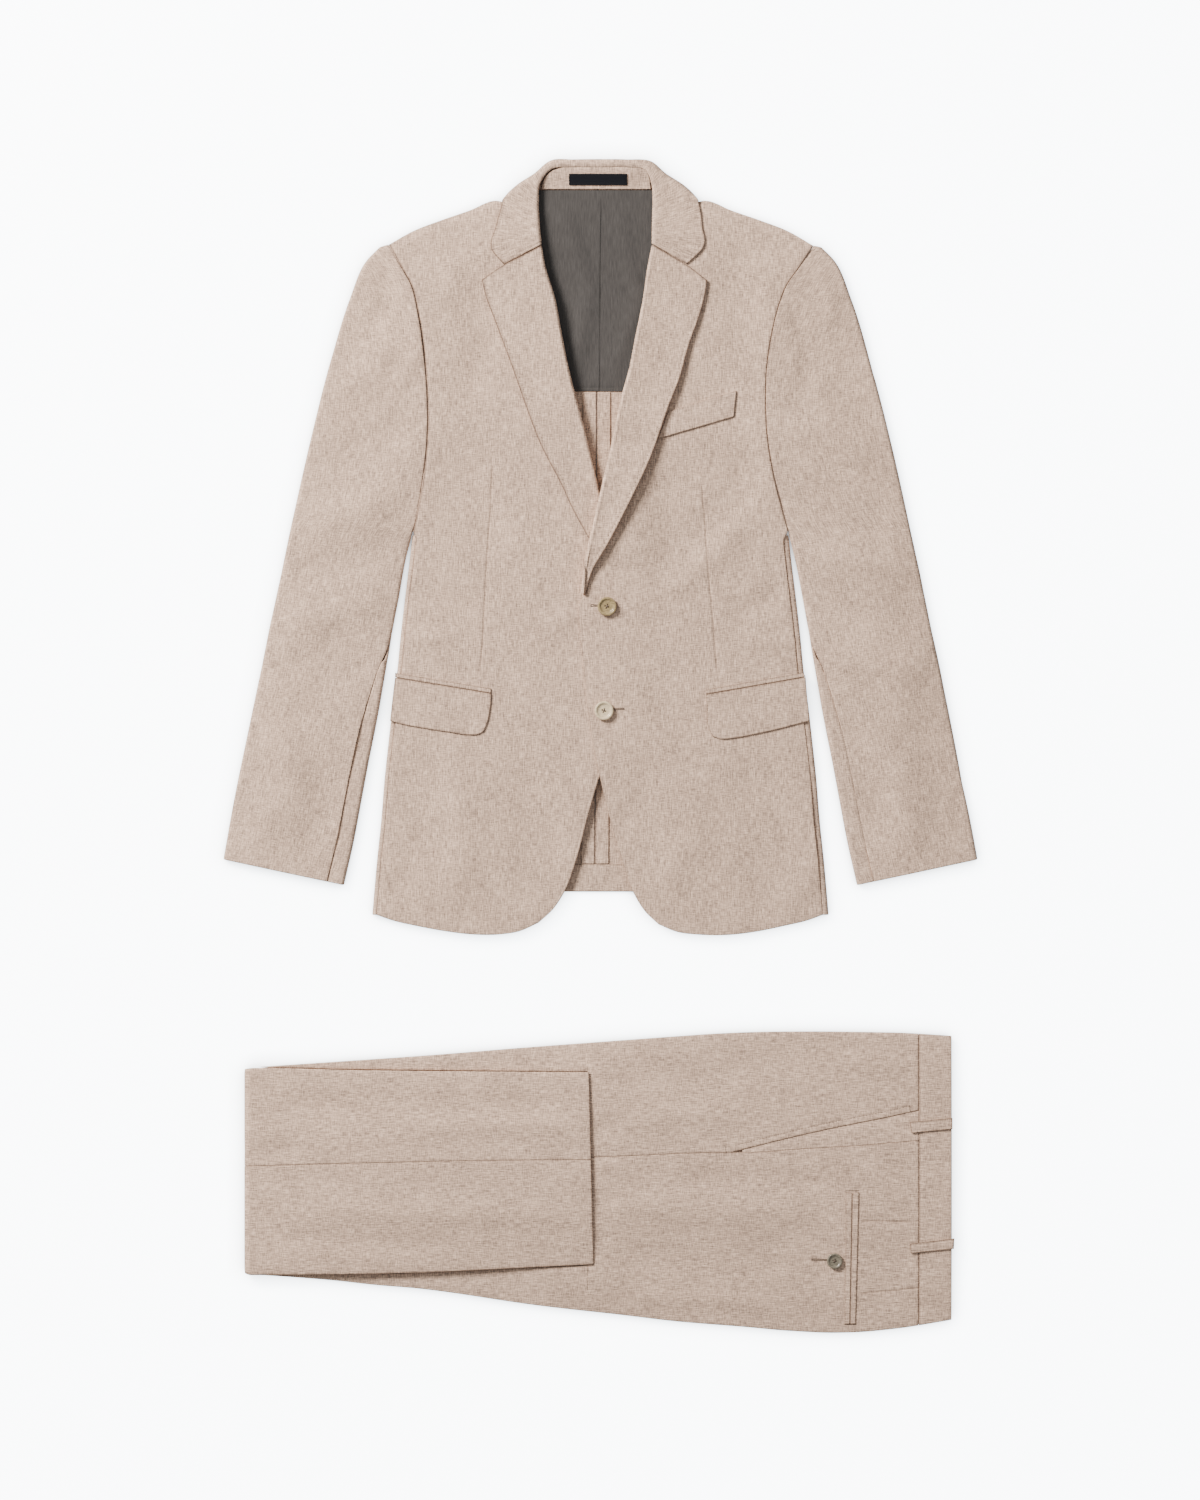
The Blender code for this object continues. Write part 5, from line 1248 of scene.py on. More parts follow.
@dataclass
class TrouserLegs(SubAssembly):
    """Four outer leg panels. The right leg lies below and its lower end is folded over on top."""

    pitch: float = 3.3
    hem_slant: float = 0.0245
    slant_reach: float = 60.0
    floor_inset: float = 1.5
    topstitch: float = 6.0
    bearer_start: float = 12.0
    margin_start: float = 16.0
    dart_panel: Pair = (113.7, 300.4)
    dart_joins: Pair = (540.0, 612.0)

    def build(self, room: Workroom) -> None:
        """Make the two panels of the right leg, the two of the left, and the side pocket's bearer."""
        self.wrapped(room, "right_front_leg", (SHIN_TOP_EDGE, shifted(SHIN_SEAM, 0, -SEWN)),
                     (shifted(THIGH_TOP_EDGE, 0, self.floor_inset), shifted(THIGH_SEAM, 0, -SEWN)), (FOLDED, SEAM),
                     0.128)
        self.wrapped(room, "right_back_leg", (shifted(SHIN_SEAM, 0, SEWN), SHIN_BOTTOM_EDGE),
                     (shifted(THIGH_SEAM, 0, SEWN), shifted(THIGH_BOTTOM_EDGE, 0, -self.floor_inset)),
                     (SEAM, UNDER_EDGE), 0.192)
        self.upper(room)

    def wrapped(self, room: Workroom, name: str, shin: tuple[Rows, Rows], thigh: tuple[Rows, Rows],
                sides: tuple[Lip, Lip], width: float) -> None:
        """A panel from the hem on top, round the knee fold, and along the floor to the waist.

        Args:
            room: where it is made.
            name: the panel's name.
            shin: its two side lines on top.
            thigh: its two side lines on the floor.
            sides: how its two sides end.
            width: its width as cut, in metres; not used.
        """
        bend = FOLD.stack / 2
        top = (FOLD.hem + 2.0) - spaced(FOLD.hem + 2.0 - bend, self.pitch)
        turn = np.linspace(0, np.pi, 19)[1:]
        floor = np.linspace(bend, FOLD.waist - GAP, 112)[1:]
        x = np.concatenate([top, bend * (1 - np.sin(turn)), floor])
        z = np.concatenate([np.full(len(top), FOLD.stack), bend * (1 + np.cos(turn)), np.zeros(len(floor))])
        run = length_along(np.column_stack([x, z]))
        over = 1 - soft_step(len(top), len(top) + len(turn), np.arange(len(x)))
        first, last = (over * read(above, x) + (1 - over) * read(below, x) for above, below in zip(shin, thigh))
        plan = banded(x, (first, last), self.pitch)
        down = plan[..., 1]
        height = np.repeat(z[:, None], down.shape[1], axis=1)
        height[:len(top)] = FOLD.shin(plan[:len(top)])
        hem_share = np.clip(1 - run / self.slant_reach, 0.0, 1.0)[:, None]
        plan[..., 0] += (down - SHIN_SEAM[-1][1]) * self.hem_slant * hem_share
        grain = np.stack([down, np.repeat(run[:, None], down.shape[1], axis=1)], axis=-1)
        wall = Wall.curved(name, Ground.TROUSERS, plan, height, LEG_CLOTH, -1, grain)
        # Lines of painted shade along the seams, the lower edge and the hem
        wall.lips(*sides, Lip(round=0.75, fall=0.2, fall_width=3.0, line=0.15))
        wall.fold(TROUSER_FOLDS)
        on_top = soft_step(0.0, bend, z)[:, None]
        wall.relief *= np.where(wall.relief > 0, on_top, 1.0)
        room.sheet(wall)

    def upper(self, room: Workroom) -> None:
        """The left leg's two panels on top of the thigh, and the pocket bearer between them."""
        hem = FOLD.hem - 1.4
        x = np.concatenate([np.linspace(self.margin_start, hem, 90),
                            hem + spaced(FOLD.waist - GAP - hem, 3.0)[2:]])
        beyond = x > hem
        seam = read(THIGH_SEAM, x)
        mouth = np.where(x > POCKET_MOUTH[0][0], read(POCKET_MOUTH, x), seam)
        first, front_end = read(THIGH_TOP_EDGE, x), np.where(beyond, mouth - GAP / 2, read(SHIN_TOP_EDGE, x) - GAP)
        start, last = np.where(beyond, seam + SEWN, read(SHIN_BOTTOM_EDGE, x) + GAP), read(THIGH_BOTTOM_EDGE, x)
        topstitch = np.where(beyond, front_end - self.topstitch, (0.1 * first + 0.9 * front_end))
        rows = (("left_front_leg", first, (topstitch,), front_end),
                ("left_back_leg", start, self.dart_marks(x, start, last), last))
        for name, first, lines, last in rows:
            plan = banded(x, (first, *lines, last), 3.2)
            wall = Wall.flat(name, Ground.TROUSERS, plan, FOLD.face(plan), LEG_CLOTH)
            front = name == "left_front_leg"
            # Lines of painted shade along the seam and at the waist end
            wall.lips(left=FOLDED if front else SEAM, right=SEAM if front else FOLDED,
                      bottom=Lip(round=0.6, fall=0.2, fall_width=2.5, pucker=0.05, line=0.5))
            if front:
                edge = np.column_stack([x, topstitch])[x > POCKET_MOUTH[0][0]]
                wall.sew(tuple(map(tuple, edge[::6])), depth=0.2, reach=0.8)
            else:
                wall.sew(UPPER_BACK_DART, depth=0.45).sew(LOWER_BACK_DART, depth=0.45)
            wall.fold(TROUSER_FOLDS)
            room.sheet(wall)
        start = POCKET_MOUTH[0][0] + self.bearer_start
        x = start + spaced(FOLD.waist - GAP - start, 3.0)
        plan = banded(x, (read(POCKET_MOUTH, x) + GAP / 2, read(THIGH_SEAM, x) - SEWN), 2.4)
        wall = Wall.flat("pocket_bearer", Ground.TROUSERS, plan, FOLD.face(plan) - 0.3, LEG_CLOTH - 0.3)
        wall.lips(left=Lip(round=0.3, fall=0.7, fall_width=6.0), right=Lip(round=0.6, pucker=0.05))
        wall.fold(TROUSER_FOLDS)
        room.sheet(wall)

    def dart_marks(self, x: Array, seam: Array, edge: Array) -> tuple[Array, ...]:
        """Where the two back darts' lines run, carried on between the panel's sides to its other end."""
        upper, lower = self.dart_panel
        lines = []
        for dart in (UPPER_BACK_DART, LOWER_BACK_DART):
            spare = seam + (dart[0][1] - upper) / (lower - upper) * (edge - seam)
            at_dart = np.interp(x, *np.array(dart).T)
            lines.append(spare + (at_dart - spare) * soft_step(*self.dart_joins, x))
        return tuple(lines)


@dataclass
class Waistband(SubAssembly):
    """The waistband's two halves, one on top and one on the floor, and the belt loops over it."""

    def build(self, room: Workroom) -> None:
        """Make both halves and both loops."""
        top = ((FOLD.waist, float(read(THIGH_TOP_EDGE, FOLD.waist))), THIGH_TOP_EDGE[-1])
        bottom = ((FOLD.waist, float(read(THIGH_BOTTOM_EDGE, FOLD.waist))), THIGH_BOTTOM_EDGE[-1])
        rows = (("waistband_left", top, bottom, CLOTH, "folded_layers_body"),
                ("waistband_right", shifted(top, 0, 1.5), shifted(bottom, 0, -1.5), LEG_CLOTH, "floor"))
        for name, first, last, thick, below in rows:
            plan = Coons((first[0], last[0]), (first[1], last[1])).grid(3.0)
            height = FOLD.band(plan) if name == "waistband_left" else LEG_CLOTH
            wall = Wall.flat(name, Ground.TROUSERS, plan, height, thick)
            # A line of painted shade along the stitched side
            wall.lips(left=Lip(round=0.6, fall=0.25, stitch=1.6, stitch_depth=0.2, pucker=0.08, line=0.5),
                      right=Lip(round=0.9, fall=0.3, fall_width=4.0), top=FOLDED, bottom=FOLDED)
            room.sheet(wall)
        for name, corners in (("belt_loop_side", SIDE_LOOP), ("belt_loop_back", BACK_LOOP)):
            plan = four_sided(corners, 1.3)
            wall = Wall.flat(name, Ground.TROUSERS, plan, FOLD.band(plan) + GAP + TRIM, TRIM)
            # Lines of painted shade round each loop
            sewn = Lip(round=0.4, fall=0.1, stitch=1.9, stitch_depth=0.22, line=0.85)
            side = Lip(round=0.4, fall=0.2, fall_width=2.5, line=0.85)
            wall.lips(side, side, sewn, sewn)
            room.sheet(wall)


@dataclass
class FoldedLayers(SubAssembly):
    """The hidden inner legs and hidden turns of the fold, one body with a rounded edge for each layer."""

    low: float = LEG_CLOTH + GAP
    turn: float = 20.0
    near_roof: float = 2.4
    far_roof: float = 1.6
    ledge_share: float = 0.45
    edge_over_ledge: float = 0.4
    edge: Rows = ((0.0, 2.2), (0.12, 0.3), (0.40, 0.3), (0.50, 1.6), (0.60, 0.3), (0.88, 0.3), (1.0, 2.2))
    insets: Rows = ((6.5, 3.0), (12.0, 1.2), (30.0, 0.9), (668.0, 0.9), (705.0, 1.6))

    def build(self, room: Workroom) -> None:
        """Make the body: rings that go up one side, over the top under the panels, and down the other."""
        stacked = np.concatenate([[6.5, 8.0, 10.0], np.linspace(12.0, FOLD.hem - 3.0, 90)])
        beyond = np.linspace(FOLD.hem - 1.0, FOLD.end - 1.0, 90)
        rows = [(x, 1.0) for x in stacked] + [(FOLD.hem - 1.8, 0.5)] + [(x, 0.0) for x in beyond]
        rings = np.array([self.ring(place, layers) for place, layers in rows])
        points = Ground.TROUSERS.world(rings[..., :2], rings[..., 2])
        grain = np.stack(np.broadcast_arrays(length_along(rings[60, :, 1:])[None], rings[..., 0]), axis=-1)
        faces, caps = tube_faces(*points.shape[:2])
        room.body("folded_layers_body", points.reshape(-1, 3), faces, "suiting", ("folded_layers",), "suiting",
                  caps, grain.reshape(-1, 2))

    def ring(self, place: float, layers: float) -> Array:
        """One ring round the body.

        Args:
            place: how far along the ring is.
            layers: 1 where the lower leg's layers lie on top, less where they end.

        Returns:
            Rows of along, down and height.
        """
        thigh = float(read(THIGH_TOP_EDGE, place)), float(read(THIGH_BOTTOM_EDGE, place))
        shin = thigh
        if layers:
            shin = max(float(read(SHIN_TOP_EDGE, place)), thigh[0]), min(float(read(SHIN_BOTTOM_EDGE, place)), thigh[1])
        under_thigh, under_shin = LEG_CLOTH + 4 * GAP, LEG_CLOTH + 2 * GAP
        down = shin[0] + (shin[1] - shin[0]) * np.linspace(0.1, 0.9, 17)
        plan = np.column_stack([np.full(len(down), place), down])
        roof = FOLD.shin(plan) - under_shin if layers == 1 else FOLD.face(plan) - under_thigh
        base = self.low
        if place < self.turn:
            base = self.low + (3 * self.turn - 3 * place) / 16
            half = self.turn / 2
            roof = np.minimum(roof, half - self.near_roof if place < half else half + self.far_roof)
        share = np.linspace(0, 1, 17)
        back = read(self.insets, place) + read(self.edge, share)
        sides = []
        for k, sign in ((0, 1), (1, -1)):
            ledge = float(FOLD.face(np.array([place, thigh[k]]))) - under_thigh
            edge_roof = ledge + self.edge_over_ledge
            if layers == 1:
                edge_roof = min(float(FOLD.shin(np.array([place, shin[k]]))) - under_shin, float(roof.max()))
            if place < self.turn:
                ledge = base + self.ledge_share * (edge_roof - base)
            lower = np.column_stack([thigh[k] + sign * back, base + (ledge - base) * share])
            upper = np.column_stack([shin[k] + sign * back, ledge + (edge_roof - ledge) * share])
            sides.append(np.concatenate([lower, upper]))
        ring = np.concatenate([sides[0], np.column_stack([down, roof]), sides[1][::-1]])
        return np.column_stack([np.full(len(ring), place), ring])


def tube_faces(rows: int, around: int) -> tuple[Array, list[tuple[int, ...]]]:
    """Face corners of a closed tube of rings, and its two end caps."""
    index = np.arange(rows * around).reshape(rows, around)
    after = np.roll(index, -1, axis=1)
    quads = np.stack([index[:-1], after[:-1], after[1:], index[1:]], axis=-1).reshape(-1, 4)
    return quads, [tuple(index[0, ::-1].tolist()), tuple(index[-1].tolist())]


def stitch_bodies(ground: Ground, course: Array, level: Level, pitch: float, size: float, thick: float) -> Body:
    """Stitches along a course: small rounded bodies, each lying along it, half sunk into the cloth.

    Args:
        ground: the garment whose plan the course is in.
        course: corners of the course, in plan.
        level: gives the cloth's height at plan points.
        pitch: distance from stitch to stitch.
        size: length of a stitch.
        thick: its radius.

    Returns:
        Points in millimetres and face corners.
    """
    line = Curve(course)
    count = max(int(line.length / pitch), 1)
    share = (np.arange(count) + 0.5) / count
    middle = line.at(share)
    way = unit(line.at(share + 0.4 / line.length) - line.at(share - 0.4 / line.length))
    side = square_to(way)
    bow = np.radians([-72.0, -40.0, 0.0, 40.0, 72.0])
    turn = np.linspace(0, 2 * np.pi, 7)[:-1]
    ahead = (size / 2 * np.sin(bow))[None, :, None, None] * way[:, None, None]
    beside = (thick * np.cos(bow)[:, None] * np.cos(turn))[None, ..., None] * side[:, None, None]
    rise = np.broadcast_to(thick * np.cos(bow)[:, None] * np.sin(turn), (count, 5, 6))
    plan = middle[:, None, None] + ahead + beside
    points = ground.world(plan, level(plan) + rise)
    one = six_sided(5)
    return points.reshape(-1, 3), (one[None] + 30 * np.arange(count)[:, None, None]).reshape(-1, 4)


def six_sided(rings: int) -> Array:
    """Face corners of a thread: rings of six points, closed at both ends by two quads each."""
    last = 6 * (rings - 1)
    caps = np.array([[3, 2, 1, 0], [5, 4, 3, 0], [last, last + 1, last + 2, last + 3],
                     [last, last + 3, last + 4, last + 5]])
    return np.concatenate([tube_faces(rings, 6)[0], caps])


def strand(ground: Ground, course: Array, height: Array, thick: float) -> Body:
    """A thread through plan points at the given heights."""
    middle = ground.world(course, height)
    way = unit(np.gradient(middle, axis=0))
    side = unit(np.cross(way, [0.0, 0.0, 1.0]))
    up = np.cross(side, way)
    turn = np.linspace(0, 2 * np.pi, 7)[:-1]
    points = (middle[:, None] + thick * np.cos(turn)[None, :, None] * side[:, None]
              + thick * np.sin(turn)[None, :, None] * up[:, None])
    return points.reshape(-1, 3), six_sided(len(middle))


def joined(bodies: list[Body]) -> Body:
    """Several bodies' points and faces as one."""
    starts = np.cumsum([0] + [len(points) for points, _ in bodies])
    return (np.concatenate([points for points, _ in bodies]),
            np.concatenate([faces + start for start, (_, faces) in zip(starts, bodies)]))


def beside(course: Rows | Array, distance: float) -> Array:
    """A smooth course moved sideways by a distance: to the left of its way down is positive."""
    points = Curve(course).points[::6]
    return points - distance * square_to(unit(np.gradient(points, axis=0)))


def on_left_front(plan: Array) -> Array:
    """Height of the left front's face with its soft folds."""
    return LEVELS.left_front(plan) + soft_folds(plan, JACKET_FOLDS)


def on_thigh(plan: Array) -> Array:
    """Height of the upper thigh's face with its soft folds."""
    return FOLD.face(plan) + soft_folds(plan, TROUSER_FOLDS)


@dataclass
class BackPocket(SubAssembly):
    """The trousers' back pocket: two welts, the buttonhole beside them, and the stitches round."""

    hole_end: Pair = (566.4, 227.4)
    hole_start: Pair = (585.0, 227.9)

    def build(self, room: Workroom) -> None:
        """Make the welts and the buttonhole."""
        for name, corners in (("pocket_welt_upper", UPPER_WELT), ("pocket_welt_lower", LOWER_WELT)):
            plan = four_sided(corners, 1.5)
            wall = Wall.flat(name, Ground.TROUSERS, plan, FOLD.face(plan) + GAP + THIN, THIN)
            # Lines of painted shade round each welt
            side = Lip(round=0.6, fall=0.15, line=0.55, line_width=0.7)
            wall.lips(side, side, Lip(round=0.4, line=0.5), Lip(round=0.4, line=0.5))
            wall.fold(TROUSER_FOLDS)
            room.sheet(wall)
        room.threads("pocket_buttonhole", [buttonhole(Ground.TROUSERS, self.hole_start, self.hole_end, on_thigh)])
        ends = ((599.6, 158.6, 613.4, 158.0), (598.6, 292.6, 610.6, 292.6))
        tacks = [stitch_bodies(Ground.TROUSERS, np.array([[x0, y0], [x1, y1]]), on_thigh, 0.7, 1.6, 0.3)
                 for x0, y0, x1, y1 in ends]
        room.threads("pocket_end_stitches", tacks)


def buttonhole(ground: Ground, eye: Pair, end: Pair, level: Level) -> Body:
    """A keyhole buttonhole: purl stitches side by side round the eye, along both lips and over the bar.

    Args:
        ground: the garment whose plan it is in.
        eye: the eye's middle, in plan.
        end: the bar's middle, in plan.
        level: gives the cloth's height at plan points.

    Returns:
        Points and face corners.
    """
    start, finish = np.array(eye), np.array(end)
    size = float(np.linalg.norm(finish - start))
    way = (finish - start) / size
    side = square_to(way)
    turn = np.radians(np.linspace(35.0, 325.0, 15))
    lip, radius, pitch = 0.62, 1.15, 0.55
    round_eye = start - way * 0.2 + radius * (np.cos(turn)[:, None] * way + np.sin(turn)[:, None] * side)
    lips = [np.array([start + way * 0.9 + s * lip * side, finish + s * lip * side]) for s in (1, -1)]
    loop = np.concatenate([lips[0][::-1], round_eye, lips[1]])
    run = length_along(loop)
    count = int(run[-1] / pitch)
    place = np.linspace(0, run[-1], count)
    middle = np.column_stack([np.interp(place, run, loop[:, i]) for i in range(2)])
    outwards = square_to(unit(np.gradient(middle, axis=0)))
    bodies = [stitch_bodies(ground, np.array([point - lip * out, point + lip * out]), level, 2 * lip, 1.3, 0.27)
              for point, out in zip(middle, outwards)]
    for s in (-0.35, 0.0, 0.35):
        bar = np.array([finish + way * s - side * 1.3, finish + way * s + side * 1.3])
        bodies.append(stitch_bodies(ground, bar, level, 2.6, 2.6, 0.28))
    return joined(bodies)


@dataclass(frozen=True)
class ButtonSize:
    """A sew-through button with four holes: a raised rim round a shallow dish."""

    diameter: float
    thickness: float
    hole_place: float = 1.75
    hole: float = 0.72
    hole_depth: float = 1.2
    profile: Rows = ((0.50, 0.0), (0.72, 0.02), (0.90, 0.16), (1.0, 0.46), (0.985, 0.74), (0.91, 0.97),
                     (0.82, 0.98), (0.72, 0.84), (0.62, 0.67), (0.50, 0.62), (0.30, 0.60))

    def rings(self) -> tuple[Array, Array]:
        """Radius and height of the button's rings, from the back round the rim to the middle of the dish."""
        outline = through(self.profile, 61)
        inner = np.linspace(outline[-1, 0] * self.diameter / 2, 0.12, 14)[1:]
        radius = np.concatenate([outline[:, 0] * self.diameter / 2, inner])
        height = np.concatenate([outline[:, 1], np.full(len(inner), outline[-1, 1])]) * self.thickness
        return radius, height


@dataclass
class Buttons(SubAssembly):
    """The two front buttons, the back pocket's button, their thread, and the front's buttonholes."""

    front: ButtonSize = ButtonSize(19.0, 4.2)
    pocket: ButtonSize = ButtonSize(15.6, 3.2, 1.5, 0.62, 0.9)
    sides: int = 96
    tilt: float = 0.35
    hole_edge: float = 0.16
    thread_thick: float = 0.24
    thread_shift: float = 0.22

    def build(self, room: Workroom) -> None:
        """Make each button with the thread that crosses it, then the buttonholes."""
        rows = (("front_button_upper", Ground.JACKET, UPPER_BUTTON, self.front, on_left_front, "button_khaki"),
                ("front_button_lower", Ground.JACKET, LOWER_BUTTON, self.front, on_left_front, "button_pale"),
                ("pocket_button", Ground.TROUSERS, BACK_BUTTON, self.pocket, on_thigh, "button_grey"))
        for name, ground, centre, size, level, finish in rows:
            base = float(level(np.array(centre))) + (2 * GAP if name == "pocket_button" else GAP)
            self.turned(room, name, ground, centre, size, base, finish)
            self.thread(room, name, ground, centre, size, base)
        holes = (("upper_buttonhole", (-8.2, 446.3), (16.0, 447.0)), ("lower_buttonhole", (1.0, 550.4), (23.4, 549.4)))
        for name, eye, end in holes:
            room.threads(name, [buttonhole(Ground.JACKET, eye, end, on_left_front)])

    def turned(self, room: Workroom, name: str, ground: Ground, centre: Pair, size: ButtonSize,
               base: float, finish: str) -> None:
        """The button's body: rings round its axis, sunk at four places to make the holes."""
        radius, height = size.rings()
        turn = np.linspace(0, 2 * np.pi, self.sides, endpoint=False)
        plan = np.array(centre) + radius[:, None, None] * np.stack([np.cos(turn), np.sin(turn)], axis=-1)[None]
        level = np.repeat(height[:, None], self.sides, axis=1)
        top = np.arange(len(radius)) > len(radius) // 2
        for corner in self.corners(size):
            away = np.linalg.norm(plan - np.array(centre) - corner, axis=-1)
            sunk = 1 - soft_step(size.hole - self.hole_edge, size.hole + self.hole_edge, away)
            level = level - np.where(top[:, None], size.hole_depth * sunk, 0.0)
        points = ground.world(plan, base + level)
        faces, caps = tube_faces(*points.shape[:2])
        room.body(f"{name}_turned", points.reshape(-1, 3), faces, finish, (name,), finish, caps)

    def corners(self, size: ButtonSize) -> Array:
        """Where the four holes are, from the button's middle."""
        turn = self.tilt + np.pi / 2 * np.arange(4)
        return size.hole_place * np.stack([np.cos(turn), np.sin(turn)], axis=-1)

    def thread(self, room: Workroom, name: str, ground: Ground, centre: Pair, size: ButtonSize,
               base: float) -> None:
        """Thread crossed twice over the dish, each end going down a hole."""
        dish = base + size.profile[-1][1] * size.thickness
        holes = self.corners(size)
        share = np.linspace(0, 1, 13)
        bodies = []
        for k, (start, end) in enumerate(((holes[0], holes[2]), (holes[1], holes[3]))):
            for shift in (-self.thread_shift, self.thread_shift):
                line = start + share[:, None] * (end - start) + shift * square_to(unit(end - start))
                rise = 0.16 + 0.2 * k * np.exp(-((share - 0.5) / 0.2) ** 2)
                height = dish + rise - 1.0 * (1 - soft_step(0.0, 0.14, np.minimum(share, 1 - share)))
                bodies.append(strand(ground, np.array(centre) + line, height, self.thread_thick))
        room.threads(f"{name}_thread", bodies)


@dataclass
class Stitching(SubAssembly):
    """The fine stitches that show: along the lapels, the pocket mouth, and the bars at its ends."""

    pick_pitch: float = 4.2
    pick_size: float = 1.2
    pick_thick: float = 0.22
    lift_share: float = 0.9
    inside: float = 3.4
    below_mouth: float = 6.0

    def build(self, room: Workroom) -> None:
        """Make each line of stitches."""
        lines = []
        for leaf, stands, lifts, level, way in (
                (RIGHT_LEAF, RIGHT_LAPEL_STANDS, RIGHT_EDGE_LIFT, LEVELS.right_front, -1),
                (LEFT_LEAF, LEFT_LAPEL_STANDS, LEFT_EDGE_LIFT, LEVELS.left_front, 1)):
            def face(plan: Array, stands: Rows = stands, lifts: Rows = lifts, level: Level = level) -> Array:
                """Height of the lapel's face where its stitches lie."""
                down = plan[..., 1]
                return (level(plan) + soft_folds(plan, JACKET_FOLDS) + read(stands, down) + CLOTH - self.pick_thick
                        + self.lift_share * read(lifts, down))
            lines.append(stitch_bodies(Ground.JACKET, beside(leaf, -way * self.inside), face, self.pick_pitch,
                                       self.pick_size, self.pick_thick))
        room.threads("lapel_stitches", lines)
        mouth = [(x, float(read(POCKET_MOUTH, x)) - self.below_mouth) for x in np.linspace(489.0, 671.0, 12)]
        room.threads("pocket_mouth_stitches", [stitch_bodies(
            Ground.TROUSERS, np.array(mouth), lambda plan: on_thigh(plan) - 0.12, 3.1, 2.3, 0.2)])
        bars = (((479.6, 113.2), (480.8, 120.6)), ((663.4, 73.4), (664.8, 80.4)))
        tacks = [stitch_bodies(Ground.TROUSERS, np.array(bar), on_thigh, 0.6, 1.5, 0.28) for bar in bars]
        room.threads("pocket_bars", tacks)


@dataclass(frozen=True)
class SuitingLook:
    """The suiting's colours and threads.

    dark, middle and light are its threads' colours. thread and slub are how wide a fine thread and a thick
    one look, run and slub_run how long they show down the cloth, cross_run and cross_slub_run across it, and
    cloud and crinkle are the sizes of its unevenness, all in metres. The weights say how much each counts.
    weave_height and crinkle_height are in metres, and pressed is the colour that the cloth is darkened towards where
    shade is painted along its edges and sewn lines.
    """

    dark: Colour = (0.270, 0.203, 0.168)
    middle: Colour = (0.550, 0.410, 0.320)
    light: Colour = (0.900, 0.690, 0.545)
    thread: float = 0.0008
    run: float = 0.0080
    cross_run: float = 0.0060
    slub: float = 0.0012
    slub_run: float = 0.027
    cross_slub_run: float = 0.011
    cloud: Pair = (0.024, 0.045)
    crinkle: Pair = (0.0065, 0.014)
    weights: tuple[float, ...] = (1.02, 0.82, 0.34, 0.30, 0.22)
    weave_height: float = 0.00016
    crinkle_height: float = 0.00045
    # The colour that painted shade darkens the cloth towards
    pressed: Colour = (0.16, 0.12, 0.10)
    roughness: float = 0.88
    sheen: float = 0.06
    sheen_roughness: float = 0.6
    specular: float = 0.2


@dataclass(frozen=True)
class PlainLook:
    """A finish of one colour with a fine mottle.

    mottle is how much lighter and darker it gets, as a share, and size how large its patches are, in metres.
    bump is in metres. woven finishes lie on the cloth's grain. glow makes the floor evenly bright, with its colour; a
    shadow is painted into that glow beside what lies on it, with the reach in metres and the power of its darkening.
    """

    colour: Colour
    mottle: float
    size: Pair
    roughness: float
    coat: float = 0.0
    sheen: float = 0.0
    bump: float = 0.0
    woven: bool = True
    glow: float = 0.0
    glow_colour: Colour = (0.90, 0.955, 1.0)
    shade_reach: float = 0.02
    shade_power: float = 1.6

    @property
    def specular(self) -> float:
        """How much the finish mirrors: little if it is woven."""
        return 0.15 if self.woven else 0.5


PLAIN_LOOKS: dict[str, PlainLook] = {
    "lining": PlainLook((0.062, 0.0615, 0.0623), 0.22, (0.0011, 0.012), 0.48, sheen=0.03, bump=0.00010),
    "label": PlainLook((0.006, 0.0077, 0.0118), 0.5, (0.0005, 0.0012), 0.62, bump=0.00008),
    "thread": PlainLook((0.150, 0.118, 0.098), 0.3, (0.0006, 0.0006), 0.7, bump=0.00006),
    "button_khaki": PlainLook((0.300, 0.238, 0.122), 0.4, (0.0030, 0.0012), 0.34, coat=0.25, woven=False),
    "button_pale": PlainLook((0.66, 0.57, 0.39), 0.2, (0.0030, 0.0012), 0.34, coat=0.25, woven=False),
    "button_grey": PlainLook((0.165, 0.155, 0.121), 0.4, (0.0026, 0.0011), 0.38, coat=0.2, woven=False),
    "floor": PlainLook((0.90, 0.90, 0.90), 0.0, (0.3, 0.3), 0.9, glow=9.5),
}


